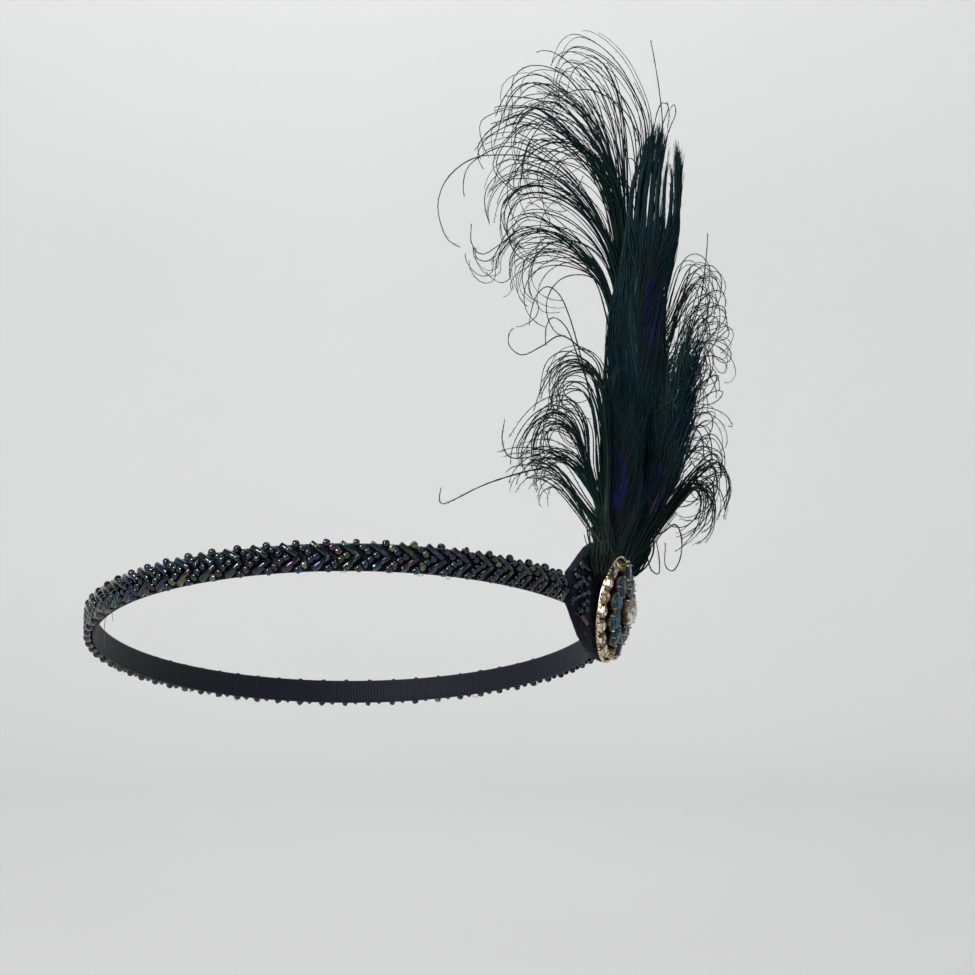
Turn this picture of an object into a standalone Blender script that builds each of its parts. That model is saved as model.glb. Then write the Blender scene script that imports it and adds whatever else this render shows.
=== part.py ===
"""Beaded headband with a peacock plume and a jewelled brooch, at its real size in metres.

Z is up, the forehead faces -Y, and the plume stands over the wearer's left side, +X.
The origin is the middle of the loop that sits on the head.
"""

import math

import bmesh
import bpy
import numpy as np
from mathutils import Matrix, Vector

# Clearance between touching pieces
GAP = 0.0003

# Head loop: inner size, and how it sits on the head
HEAD_LENGTH = 0.198
HEAD_WIDTH = 0.151
FOREHEAD_RISE_DEG = 14.7
LEFT_RISE_DEG = 3.6

# Ribbon and herringbone bead trim
RIBBON_WIDTH = 0.0076
RIBBON_THICK = 0.001
TRIM_WIDTH = 0.0078
TRIM_THICK = 0.0019
TRIM_PITCH = 0.0081
TRIM_LEAD = 0.0046
TRIM_RELIEF = 0.0004
BEAD_EDGE = 0.0004

# Felt pad
PAD_HALF_LENGTH = 0.024
PAD_HALF_HEIGHT = 0.0166
PAD_THICK = 0.0022
PAD_STAND_OFF = 0.0015
PAD_FLAT = 0.010
PAD_SLOPE_DEG = 14.2
PAD_EDGE_ROUND = 0.0005

# Brooch
BROOCH_TURN_DEG = 77.5
BROOCH_YAW_DEG = 12.0
BROOCH_LEAN_DEG = 7.5
BROOCH_DROP = 0.0018
BROOCH_RADIUS = 0.0158
PLATE_THICK = 0.0009
CUP_WALL = 0.00035
CLAW_THICK = 0.0006
CLAW_RISE = 0.0009
PLACES = 10
RIM_PLACES = 20

# Stones: half width across the spoke, half length along it, seat height above the plate's back
RIM_STONE = 0.00145
RIM_HEIGHT = 0.0022
OVAL_WIDE, OVAL_LONG, OVAL_HEIGHT, OVAL_RING = 0.00245, 0.0028, 0.0042, 0.0087
BAGUETTE_WIDE, BAGUETTE_LONG, BAGUETTE_HEIGHT, BAGUETTE_RING = 0.0017, 0.0029, 0.0039, 0.0112
SMALL_STONE, SMALL_HEIGHT, SMALL_RING = 0.0016, 0.0052, 0.0063
CENTRE_STONE, CENTRE_HEIGHT = 0.0040, 0.0062
CROWN_SHARE = 0.36
PAVILION_SHARE = 0.55
TABLE_SHARE = 0.58

# Plume
PLUME_HEIGHT = 0.150
PLUME_YAW_DEG = 30.0
STEM_RADIUS = 0.0011
STEM_DEPTH = 0.009
VANE_THICK = 0.0014
QUILL_RADIUS = 0.0009

# Sections of each eye feather: rise, middle and half width as shares of the plume's height
TALL_FEATHER = [
    # rise, middle, half width
    (0.02, 0.026, 0.018),
    (0.06, 0.036, 0.038),
    (0.15, 0.050, 0.058),
    (0.25, 0.058, 0.070),
    (0.34, 0.060, 0.076),
    (0.44, 0.060, 0.068),
    (0.52, 0.067, 0.062),
    (0.58, 0.077, 0.058),
    (0.64, 0.092, 0.052),
    (0.70, 0.107, 0.048),
    (0.77, 0.117, 0.042),
    (0.81, 0.119, 0.030),
    (0.845, 0.120, 0.008),
]
FRONT_FEATHER = [
    # rise, middle, half width
    (0.02, 0.010, 0.020),
    (0.05, 0.014, 0.034),
    (0.11, 0.020, 0.044),
    (0.20, 0.024, 0.049),
    (0.27, 0.025, 0.046),
    (0.32, 0.023, 0.034),
    (0.36, 0.020, 0.010),
]
RIGHT_FEATHER = [
    # rise, middle, half width
    (0.02, 0.058, 0.018),
    (0.07, 0.088, 0.030),
    (0.15, 0.116, 0.040),
    (0.23, 0.131, 0.042),
    (0.31, 0.152, 0.040),
    (0.39, 0.174, 0.030),
    (0.445, 0.188, 0.012),
]

# Curled locks: root, peak and tip of each, as shares of the plume's height, with depth and thickness
UPPER_LOCKS = [
    # root across, root rise, peak across, peak rise, tip across, tip rise, depth, thickness
    (0.052, 0.60, -0.065, 0.985, -0.116, 0.880, -0.02, 0.012),
    (0.040, 0.60, -0.034, 0.950, -0.095, 0.840, 0.03, 0.014),
    (0.030, 0.60, -0.145, 0.945, -0.187, 0.850, -0.05, 0.014),
    (0.024, 0.60, -0.150, 0.900, -0.258, 0.750, 0.05, 0.018),
    (0.020, 0.57, -0.125, 0.865, -0.225, 0.746, 0.00, 0.024),
    (0.012, 0.50, -0.208, 0.765, -0.277, 0.610, 0.02, 0.026),
    (0.010, 0.48, -0.165, 0.705, -0.256, 0.600, -0.05, 0.020),
    (0.004, 0.44, -0.174, 0.645, -0.248, 0.530, -0.01, 0.024),
    (0.002, 0.42, -0.130, 0.600, -0.225, 0.500, 0.05, 0.014),
]
LOWER_LOCKS = [
    # root across, root rise, peak across, peak rise, tip across, tip rise, depth, thickness
    (-0.030, 0.16, -0.135, 0.505, -0.174, 0.433, 0.06, 0.014),
    (-0.032, 0.20, -0.112, 0.400, -0.190, 0.340, 0.04, 0.014),
    (-0.032, 0.12, -0.108, 0.296, -0.204, 0.190, 0.08, 0.020),
    (-0.032, 0.07, -0.125, 0.203, -0.199, 0.150, 0.05, 0.022),
    (-0.032, 0.03, -0.115, 0.128, -0.185, 0.085, 0.07, 0.014),
]
SIDE_LOCKS = [
    # root across, root rise, peak across, peak rise, tip across, tip rise, depth, thickness
    (0.140, 0.34, 0.178, 0.575, 0.222, 0.500, -0.07, 0.018),
    (0.130, 0.28, 0.205, 0.490, 0.236, 0.400, -0.09, 0.022),
    (0.120, 0.18, 0.205, 0.400, 0.228, 0.320, -0.06, 0.020),
    (0.105, 0.09, 0.226, 0.262, 0.250, 0.170, -0.08, 0.018),
    (0.085, 0.05, 0.228, 0.182, 0.262, 0.060, -0.05, 0.018),
    (0.070, 0.02, 0.155, 0.056, 0.146, -0.030, -0.06, 0.012),
]

# Trunks that the locks grow from, in shares of the plume's height
UPPER_TRUNK = [
    # across, rise, depth, radius
    (0.016, 0.03, -0.026, 0.008),
    (0.010, 0.25, -0.036, 0.014),
    (0.012, 0.45, -0.036, 0.016),
    (0.030, 0.60, -0.034, 0.014),
    (0.045, 0.66, -0.030, 0.008),
]
LOWER_TRUNK = [
    # across, rise, depth, radius
    (-0.028, 0.02, 0.046, 0.009),
    (-0.032, 0.08, 0.052, 0.011),
    (-0.032, 0.16, 0.052, 0.010),
    (-0.030, 0.22, 0.050, 0.006),
]
SIDE_TRUNK = [
    # across, rise, depth, radius
    (0.050, 0.02, -0.040, 0.009),
    (0.085, 0.08, -0.048, 0.012),
    (0.110, 0.18, -0.054, 0.012),
    (0.130, 0.30, -0.056, 0.010),
    (0.142, 0.38, -0.056, 0.006),
]

# Stems behind the brooch, and how far forward each feather stands in shares of the plume's height
STEM_SPACING = 0.0034
FRONT_DEPTH_SHARE = 0.036
RIGHT_DEPTH_SHARE = 0.016
TALL_DEPTH_SHARE = -0.004

LOOP_SEGMENTS = 88
PLATE_SIDES, POST_SIDES, SEAT_SIDES = 30, 10, 12
PAD_COLUMNS, PAD_ROWS = 16, 4
TRIM_ROWS = 4
VANE_ROWS = 4

Z_AXIS = Vector((0, 0, 1))


def clear_scene():
    for item in list(bpy.data.objects):
        bpy.data.objects.remove(item, do_unlink=True)


def material(name, colour, roughness, metallic=0.0):
    made = bpy.data.materials.new(name)
    made.use_nodes = True
    shader = made.node_tree.nodes["Principled BSDF"]
    shader.inputs["Base Color"].default_value = (*colour, 1)
    shader.inputs["Roughness"].default_value = roughness
    shader.inputs["Metallic"].default_value = metallic
    return made


def new_object(name, mesh_maker, finish, place=None):
    """An object from a bmesh, set in the frame of an empty where one is given."""
    mesh = bpy.data.meshes.new(name)
    mesh_maker.to_mesh(mesh)
    mesh_maker.free()
    made = bpy.data.objects.new(name, mesh)
    bpy.context.scene.collection.objects.link(made)
    if finish is not None:
        mesh.materials.append(finish)
    if place is not None:
        made.parent = place
    return made


def empty(name, matrix):
    made = bpy.data.objects.new(name, None)
    made.matrix_world = matrix
    bpy.context.scene.collection.objects.link(made)
    return made


def frame_matrix(origin, x_axis, y_axis, z_axis):
    matrix = Matrix((x_axis, y_axis, z_axis)).transposed().to_4x4()
    matrix.translation = origin
    return matrix


def face_outward(bm):
    bmesh.ops.recalc_face_normals(bm, faces=list(bm.faces))
    if bm.calc_volume(signed=True) < 0:
        bmesh.ops.reverse_faces(bm, faces=list(bm.faces))


def sheet_body(columns, rows, place):
    """A closed body from a grid and its copy; place gives a point from shares along and up, and a side."""
    bm = bmesh.new()
    bmesh.ops.create_grid(bm, x_segments=columns, y_segments=rows, size=0.5)
    back = list(bm.verts)
    grown = bmesh.ops.extrude_face_region(bm, geom=list(bm.faces))
    front = [item for item in grown["geom"] if isinstance(item, bmesh.types.BMVert)]
    for side, verts in enumerate((back, front)):
        for vert in verts:
            vert.co = place(vert.co.x + 0.5, vert.co.y + 0.5, side)
    face_outward(bm)
    return bm


def boolean(target, bodies, operation, solver="EXACT"):
    """Adds or cuts bodies one after another, and makes the result the target's mesh."""
    tools = [new_object(f"{target.name}_tool", body, None) for body in bodies]
    for tool in tools:
        step = target.modifiers.new(operation.lower(), "BOOLEAN")
        step.operation = operation
        step.object = tool
        step.solver = solver
    graph = bpy.context.evaluated_depsgraph_get()
    result = bpy.data.meshes.new_from_object(target.evaluated_get(graph))
    target.modifiers.clear()
    target.data = result
    for tool in tools:
        bpy.data.objects.remove(tool, do_unlink=True)


# Head loop

HEAD_TILT = Matrix.Rotation(-math.radians(LEFT_RISE_DEG), 4, "Y") @ Matrix.Rotation(
    -math.radians(FOREHEAD_RISE_DEG), 4, "X"
)


def loop_point(turn, outset, lift=0.0):
    """A point on the loop at an angle from the forehead, set out from the head, in the loop's own frame."""
    half_x, half_y = HEAD_WIDTH / 2, HEAD_LENGTH / 2
    point = Vector((half_x * math.sin(turn), -half_y * math.cos(turn), 0))
    normal = Vector((math.sin(turn) / half_x, -math.cos(turn) / half_y, 0)).normalized()
    return point + normal * outset + Z_AXIS * lift


TURNS = np.linspace(0, 4 * math.pi, 2881)
TRIM_MIDDLE = RIBBON_THICK + GAP + TRIM_THICK / 2
MIDDLE_LINE = np.array([loop_point(turn, TRIM_MIDDLE) for turn in TURNS])
LENGTHS = np.concatenate([[0], np.cumsum(np.linalg.norm(np.diff(MIDDLE_LINE, axis=0), axis=1))])


def turn_at(length):
    return float(np.interp(length, LENGTHS, TURNS))


def length_at(turn):
    return float(np.interp(turn, TURNS, LENGTHS))


# Pad and brooch frames

YAW = math.radians(BROOCH_YAW_DEG)
LEAN = math.radians(BROOCH_LEAN_DEG)
SIDE_OUT = Vector((math.cos(YAW), -math.sin(YAW), 0))
SIDE_BACK = Vector((math.sin(YAW), math.cos(YAW), 0))
SLOPE = math.radians(PAD_SLOPE_DEG)
PAD_ALONG = SIDE_BACK * math.cos(SLOPE) - Z_AXIS * math.sin(SLOPE)
PAD_UP = SIDE_OUT.cross(PAD_ALONG)
BROOCH_TURN = math.radians(BROOCH_TURN_DEG)
PAD_ORIGIN = HEAD_TILT @ loop_point(BROOCH_TURN, RIBBON_THICK + PAD_STAND_OFF + PAD_THICK)
PAD_FRAME = frame_matrix(PAD_ORIGIN, PAD_ALONG, PAD_UP, SIDE_OUT)

BROOCH_OUT = SIDE_OUT * math.cos(LEAN) - Z_AXIS * math.sin(LEAN)
BROOCH_UP = BROOCH_OUT.cross(SIDE_BACK)
BROOCH_OFF_PAD = BROOCH_RADIUS * math.sin(LEAN) + GAP
BROOCH_ORIGIN = PAD_ORIGIN + SIDE_OUT * BROOCH_OFF_PAD - Z_AXIS * BROOCH_DROP
BROOCH_FRAME = frame_matrix(BROOCH_ORIGIN, SIDE_BACK, BROOCH_UP, BROOCH_OUT)


def ribbon_beside_pad():
    """Where the ribbon's outer side runs in the pad's frame: places along it, heights and turns."""
    inverse = PAD_FRAME.inverted()
    turns = np.linspace(BROOCH_TURN - 1.0, BROOCH_TURN + 1.0, 401)
    points = [inverse @ (HEAD_TILT @ loop_point(turn, RIBBON_THICK)) for turn in turns]
    return [p.x for p in points], [p.z for p in points], turns


RIBBON_ALONG, RIBBON_OUT, RIBBON_TURNS = ribbon_beside_pad()


def pad_back(along):
    """The pad's back face: flat behind the brooch, then bending in to rest on the ribbon at each tip."""
    tip = math.copysign(PAD_HALF_LENGTH, along)
    tip_out = float(np.interp(tip, RIBBON_ALONG, RIBBON_OUT)) + GAP
    share = max(0.0, abs(along) - PAD_FLAT) / (PAD_HALF_LENGTH - PAD_FLAT)
    return -PAD_THICK + (tip_out + PAD_THICK) * share**2


PAD_OUTLINE = [
    # share of the half length, share of the half height
    (0.0, 1.0),
    (0.30, 0.985),
    (0.50, 0.92),
    (0.65, 0.80),
    (0.78, 0.62),
    (0.90, 0.40),
    (1.0, 0.235),
]


def pad_half_height(along):
    share = abs(along) / PAD_HALF_LENGTH
    return PAD_HALF_HEIGHT * float(np.interp(share, *zip(*PAD_OUTLINE)))


def make_ribbon(finish, place):
    """The ribbon: one closed loop round the head."""
    bm = bmesh.new()
    bmesh.ops.create_circle(bm, segments=LOOP_SEGMENTS, radius=1)
    for vert in bm.verts:
        turn = math.atan2(vert.co.x, -vert.co.y)
        vert.co = loop_point(turn, 0, -RIBBON_WIDTH / 2)
    grown = bmesh.ops.extrude_edge_only(bm, edges=list(bm.edges))
    top = [item for item in grown["geom"] if isinstance(item, bmesh.types.BMVert)]
    bmesh.ops.translate(bm, verts=top, vec=Z_AXIS * RIBBON_WIDTH)
    bmesh.ops.recalc_face_normals(bm, faces=list(bm.faces))
    outward = sum(face.normal.dot(face.calc_center_median()) for face in bm.faces)
    if outward < 0:
        bmesh.ops.reverse_faces(bm, faces=list(bm.faces))
    made = new_object("ribbon_band", bm, finish, place)
    wall = made.modifiers.new("wall", "SOLIDIFY")
    wall.thickness = RIBBON_THICK
    wall.offset = 1
    wall.use_even_offset = True
    return made


def make_trim(finish, place):
    """The herringbone bead trim: a solid strip from the pad's back tip round the head to its front."""
    reach = PAD_HALF_LENGTH + GAP
    start = length_at(float(np.interp(reach, RIBBON_ALONG, RIBBON_TURNS)))
    end = length_at(float(np.interp(-reach, RIBBON_ALONG, RIBBON_TURNS)) + 2 * math.pi)
    pitches = round((end - start) / TRIM_PITCH)
    columns = 2 * pitches
    step = (end - start) / columns
    inner = RIBBON_THICK + GAP

    def place_point(along, up, side):
        column = round(along * columns)
        ridge = 1 if column % 2 else -1
        height = (up - 0.5) * (TRIM_WIDTH - 2 * BEAD_EDGE)
        if side == 0:
            return loop_point(turn_at(start + column * step), inner, height)
        near_edge = abs(2 * up - 1)
        length = start + column * step + TRIM_LEAD * (0.5 - near_edge)
        length = min(max(length, start), end)
        outset = inner + TRIM_THICK + TRIM_RELIEF * (ridge - near_edge**2)
        if near_edge > 0.99:
            height += math.copysign(BEAD_EDGE, height) * (ridge > 0)
            outset -= TRIM_THICK * 0.3
        return loop_point(turn_at(length), outset, height)

    bm = sheet_body(columns, TRIM_ROWS, place_point)
    return new_object("bead_trim", bm, finish, place)


def make_pad(finish, place):
    """The felt pad that carries the brooch and the plume."""

    def place_point(along, up, side):
        reach = (2 * along - 1) * PAD_HALF_LENGTH
        height = (2 * up - 1) * pad_half_height(reach)
        out = pad_back(reach) + side * PAD_THICK
        edge = abs(2 * up - 1) > 0.99
        if edge:
            height -= math.copysign(PAD_EDGE_ROUND, height) * (side == 1)
        return Vector((reach, height, out))

    bm = sheet_body(PAD_COLUMNS, PAD_ROWS, place_point)
    return new_object("felt_pad", bm, finish, place)


# Stones


def gem_matrix(clock, ring, height, tip_deg=0.0):
    """The frame of a stone: Y along its spoke, Z out of the brooch, tipped outwards."""
    angle = math.radians(clock)
    spin = Matrix.Rotation(-angle, 4, "Z")
    tip = Matrix.Rotation(-math.radians(tip_deg), 4, "X")
    return spin @ Matrix.Translation((0, ring, height)) @ tip


def ring_of(bm, count, half_x, half_y, height, half_step=False):
    made = bmesh.ops.create_circle(bm, segments=count, radius=1)["verts"]
    if half_step:
        bmesh.ops.rotate(bm, verts=made, cent=(0, 0, 0), matrix=Matrix.Rotation(math.pi / count, 3, "Z"))
    bmesh.ops.scale(bm, verts=made, vec=(half_x, half_y, 1))
    bmesh.ops.translate(bm, verts=made, vec=(0, 0, height))
    return made


def corner_ring(bm, half_x, half_y, cut, height):
    """A rectangle with cut corners."""
    for sign_x in (-1, 1):
        for sign_y in (-1, 1):
            bm.verts.new((sign_x * (half_x - cut), sign_y * half_y, height))
            bm.verts.new((sign_x * half_x, sign_y * (half_y - cut), height))


def hull(bm):
    made = bmesh.ops.convex_hull(bm, input=list(bm.verts))
    unused = made["geom_interior"] + made["geom_unused"]
    spare = {item for item in unused if isinstance(item, bmesh.types.BMVert)}
    bmesh.ops.delete(bm, geom=list(spare), context="VERTS")
    bmesh.ops.delete(bm, geom=[edge for edge in bm.edges if edge.is_wire], context="EDGES")
    face_outward(bm)
    return bm


def brilliant(half_x, half_y, sides, grow=0.0):
    """A round or oval cut stone whose girdle lies at height 0; grow widens it into its own seat."""
    bm = bmesh.new()
    depth = min(half_x, half_y)
    crown, pavilion = CROWN_SHARE * depth, PAVILION_SHARE * depth
    wide_x, wide_y = half_x + grow, half_y + grow
    if grow:
        ring_of(bm, SEAT_SIDES, wide_x, wide_y, 6 * depth)
        ring_of(bm, SEAT_SIDES, wide_x, wide_y, -GAP)
    else:
        ring_of(bm, sides, TABLE_SHARE * wide_x, TABLE_SHARE * wide_y, crown, half_step=True)
        ring_of(bm, sides, 0.84 * wide_x, 0.84 * wide_y, 0.66 * crown)
        ring_of(bm, 2 * sides, wide_x, wide_y, 0.08 * depth)
        ring_of(bm, 2 * sides, wide_x, wide_y, 0)
    ring_of(bm, sides, 0.25 * wide_x + grow / 2, 0.25 * wide_y + grow / 2, -pavilion - grow)
    return hull(bm)


def rim_gem(radius, grow=0.0):
    """A small round stone with eight facets and a table."""
    bm = bmesh.new()
    crown, pavilion = CROWN_SHARE * radius, PAVILION_SHARE * radius
    wide = radius + grow
    if grow:
        ring_of(bm, 8, wide, wide, 6 * radius)
        ring_of(bm, 8, wide, wide, -GAP)
    else:
        ring_of(bm, 8, TABLE_SHARE * wide, TABLE_SHARE * wide, crown)
        ring_of(bm, 8, wide, wide, 0.1 * radius)
        ring_of(bm, 8, wide, wide, 0)
    ring_of(bm, 8, 0.35 * wide, 0.35 * wide, -pavilion - grow)
    return hull(bm)


def baguette(half_x, half_y, grow=0.0):
    """A step cut rectangular stone."""
    bm = bmesh.new()
    cut = 0.28 * half_x
    crown, pavilion = 0.5 * half_x, 0.7 * half_x
    wide_x, wide_y = half_x + grow, half_y + grow
    if grow:
        corner_ring(bm, wide_x, wide_y, cut, 6 * half_x)
        corner_ring(bm, wide_x, wide_y, cut, -GAP)
    else:
        corner_ring(bm, 0.50 * wide_x, wide_y - 0.5 * wide_x, 0.5 * cut, crown)
        corner_ring(bm, 0.78 * wide_x, wide_y - 0.22 * wide_x, 0.8 * cut, 0.66 * crown)
        corner_ring(bm, wide_x, wide_y, cut, 0.12 * half_x)
        corner_ring(bm, wide_x, wide_y, cut, 0)
    corner_ring(bm, 0.3 * wide_x, wide_y - 0.7 * wide_x, 0.3 * cut, -pavilion - grow)
    return hull(bm)


def stone_list():
    """Each stone of the brooch: its name, shape maker, frame, half sizes and claw angles."""
    stones = []

    def add(name, maker, matrix, half_x, half_y, claws):
        half = (half_x, half_y)
        stones.append({"name": name, "maker": maker, "matrix": matrix, "half": half, "claws": claws})

    add(
        "centre_crystal",
        lambda grow: brilliant(CENTRE_STONE, CENTRE_STONE, 8, grow),
        gem_matrix(0, 0, CENTRE_HEIGHT),
        CENTRE_STONE,
        CENTRE_STONE,
        (45, 135, 225, 315),
    )
    number = {"oval": 0, "baguette": 0, "rim": 0}
    for place in range(PLACES):
        clock = 360 / PLACES * place
        if place % (PLACES // 2) == 0:
            number["baguette"] += 1
            count = number["baguette"]
            add(
                f"baguette_stone_{count}",
                lambda grow: baguette(BAGUETTE_WIDE, BAGUETTE_LONG, grow),
                gem_matrix(clock, BAGUETTE_RING, BAGUETTE_HEIGHT, 8),
                BAGUETTE_WIDE,
                BAGUETTE_LONG,
                (32, 148, 212, 328),
            )
            add(
                f"small_stone_{count}",
                lambda grow: brilliant(SMALL_STONE, SMALL_STONE, 6, grow),
                gem_matrix(clock, SMALL_RING, SMALL_HEIGHT),
                SMALL_STONE,
                SMALL_STONE,
                (80, 280),
            )
        else:
            number["oval"] += 1
            add(
                f"oval_stone_{number['oval']}",
                lambda grow: brilliant(OVAL_WIDE, OVAL_LONG, 8, grow),
                gem_matrix(clock, OVAL_RING, OVAL_HEIGHT, 10),
                OVAL_WIDE,
                OVAL_LONG,
                (50, 310),
            )
    rim_ring = BROOCH_RADIUS - RIM_STONE - GAP - CUP_WALL
    for place in range(RIM_PLACES):
        if place % (RIM_PLACES // 2) in (0, 1, RIM_PLACES // 2 - 1):
            continue
        number["rim"] += 1
        add(
            f"rim_stone_{number['rim']:02d}",
            lambda grow: rim_gem(RIM_STONE, grow),
            gem_matrix(360 / RIM_PLACES * place, rim_ring, RIM_HEIGHT),
            RIM_STONE,
            RIM_STONE,
            (),
        )
    return stones


def cup_post(stone):
    """The solid cup under a stone, from the plate to just above the girdle's foot."""
    bm = bmesh.new()
    sides = 8 if stone["name"].startswith("rim") else POST_SIDES
    half_x, half_y = (half + GAP + CUP_WALL for half in stone["half"])
    height = stone["matrix"].translation.z - PLATE_THICK / 2
    if stone["name"].startswith("baguette"):
        for level, narrow in ((0, 1), (-height, 0.9)):
            corner_ring(bm, half_x * narrow, half_y * narrow, 0.28 * half_x, level)
        hull(bm)
    else:
        ring_of(bm, sides, half_x, half_y, 0)
        ring_of(bm, sides, half_x * 0.86, half_y * 0.86, -height)
        hull(bm)
    bmesh.ops.transform(bm, matrix=stone["matrix"], verts=list(bm.verts))
    return bm


def claw(stone, angle):
    """A claw that stands beside the girdle and leans in over the crown's edge."""
    bm = bmesh.new()
    half_x, half_y = stone["half"]
    turn = math.radians(angle)
    away = GAP + CLAW_THICK / 2
    if stone["name"].startswith("baguette"):
        foot_x = math.copysign(half_x + away, math.sin(turn))
        foot = Vector((foot_x, math.copysign(half_y * 0.72, math.cos(turn)), 0))
    else:
        foot = Vector(((half_x + away) * math.sin(turn), (half_y + away) * math.cos(turn), 0))
    inward = -foot.normalized()
    levels = ((-1.5 * CLAW_RISE, 0, 1), (0.3 * CLAW_RISE, 0, 1), (CLAW_RISE, 0.35, 0.6))
    for level, lean, share in levels:
        made = ring_of(bm, 4, CLAW_THICK / 2 * share, CLAW_THICK / 2 * share, level)
        bmesh.ops.translate(bm, verts=made, vec=foot + inward * lean * CLAW_THICK)
    hull(bm)
    bmesh.ops.transform(bm, matrix=stone["matrix"], verts=list(bm.verts))
    return bm


def wire_loop(clock, ring, radius, wire, height):
    """An open loop of round wire standing at the brooch's rim."""
    bm = bmesh.new()
    made = bmesh.ops.create_circle(bm, segments=5, radius=wire)["verts"]
    bmesh.ops.rotate(bm, verts=made, cent=(0, 0, 0), matrix=Matrix.Rotation(math.pi / 2, 3, "X"))
    bmesh.ops.translate(bm, verts=made, vec=(radius, 0, 0))
    bmesh.ops.spin(
        bm,
        geom=list(bm.verts) + list(bm.edges),
        cent=(0, 0, 0),
        axis=(0, 0, 1),
        angle=2 * math.pi,
        steps=10,
        use_merge=True,
    )
    bmesh.ops.remove_doubles(bm, verts=list(bm.verts), dist=1e-6)
    face_outward(bm)
    bmesh.ops.transform(bm, matrix=gem_matrix(clock, ring, height, 30), verts=list(bm.verts))
    return bm


def make_brooch(finishes, place):
    """The gold setting, cast with its cups and claws, and every stone in its own seat."""
    stones = stone_list()
    bm = bmesh.new()
    bmesh.ops.create_cone(
        bm,
        cap_ends=True,
        segments=PLATE_SIDES,
        radius1=BROOCH_RADIUS - RIM_STONE,
        radius2=BROOCH_RADIUS - RIM_STONE,
        depth=PLATE_THICK,
    )
    bmesh.ops.translate(bm, verts=list(bm.verts), vec=(0, 0, PLATE_THICK / 2))
    setting = new_object("brooch_setting", bm, finishes["gold"])
    rim_ring = BROOCH_RADIUS - RIM_STONE - GAP - CUP_WALL
    loops = [
        wire_loop(360 / RIM_PLACES * place_number, rim_ring, RIM_STONE, 0.0004, 0.0012)
        for place_number in (1, RIM_PLACES // 2 - 1, RIM_PLACES // 2 + 1, RIM_PLACES - 1)
    ]
    boolean(setting, [cup_post(stone) for stone in stones] + loops, "UNION", "MANIFOLD")
    seats = []
    for stone in stones:
        seat = stone["maker"](GAP)
        bmesh.ops.transform(seat, matrix=stone["matrix"], verts=list(seat.verts))
        seats.append(seat)
    boolean(setting, seats, "DIFFERENCE", "MANIFOLD")
    claws = [claw(stone, angle) for stone in stones for angle in stone["claws"]]
    boolean(setting, claws, "UNION", "MANIFOLD")
    setting.parent = place
    for stone in stones:
        shape = stone["maker"](0.0)
        bmesh.ops.transform(shape, matrix=stone["matrix"], verts=list(shape.verts))
        new_object(stone["name"], shape, finishes[stone["name"].split("_")[0]], place)


# Plume


def wedge(up_brooch):
    """Half the space between the pad and the leaning brooch, at a height on the brooch."""
    return (GAP + (BROOCH_RADIUS + up_brooch) * math.sin(LEAN)) / 2


PLUME_YAW = math.radians(PLUME_YAW_DEG)
PLUME_ACROSS = Vector((math.cos(PLUME_YAW), math.sin(PLUME_YAW), 0))
PLUME_OUT = Vector((math.sin(PLUME_YAW), -math.cos(PLUME_YAW), 0))
PLUME_ORIGIN = BROOCH_FRAME @ Vector((0, BROOCH_RADIUS, -wedge(BROOCH_RADIUS)))
PLUME_FRAME = frame_matrix(PLUME_ORIGIN, PLUME_ACROSS, Z_AXIS, -PLUME_OUT)


def plume_point(across, rise, depth):
    """A point of the plume from its shares: across it, up it, and towards its front."""
    return Vector((across, rise, -depth)) * PLUME_HEIGHT


def stem_points(slot):
    """The two ends of a stem's hidden stretch behind the brooch, in the plume's frame."""
    inverse = PLUME_FRAME.inverted()
    ends = []
    for up_brooch in (BROOCH_RADIUS - STEM_DEPTH, BROOCH_RADIUS):
        spot = BROOCH_FRAME @ Vector((slot * STEM_SPACING, up_brooch, -wedge(up_brooch)))
        ends.append(inverse @ spot)
    return ends


def tube(points, radii, sides_level=1):
    """A tapered round body along a smooth line, as a bmesh."""
    curve = bpy.data.curves.new("tube", "CURVE")
    curve.dimensions = "3D"
    curve.bevel_depth = 1.0
    curve.bevel_resolution = sides_level
    curve.use_fill_caps = True
    curve.resolution_u = 3
    line = curve.splines.new("BEZIER")
    line.bezier_points.add(len(points) - 1)
    for knot, point, radius in zip(line.bezier_points, points, radii):
        knot.co = point
        knot.radius = radius
        knot.handle_left_type = knot.handle_right_type = "AUTO"
    return curve_to_bmesh(curve)


def curve_to_bmesh(curve):
    holder = bpy.data.objects.new("tube", curve)
    bpy.context.scene.collection.objects.link(holder)
    graph = bpy.context.evaluated_depsgraph_get()
    mesh = bpy.data.meshes.new_from_object(holder.evaluated_get(graph))
    bm = bmesh.new()
    bm.from_mesh(mesh)
    bpy.data.objects.remove(holder, do_unlink=True)
    bpy.data.meshes.remove(mesh)
    bpy.data.curves.remove(curve)
    bmesh.ops.remove_doubles(bm, verts=list(bm.verts), dist=1e-6)
    face_outward(bm)
    return bm


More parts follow.
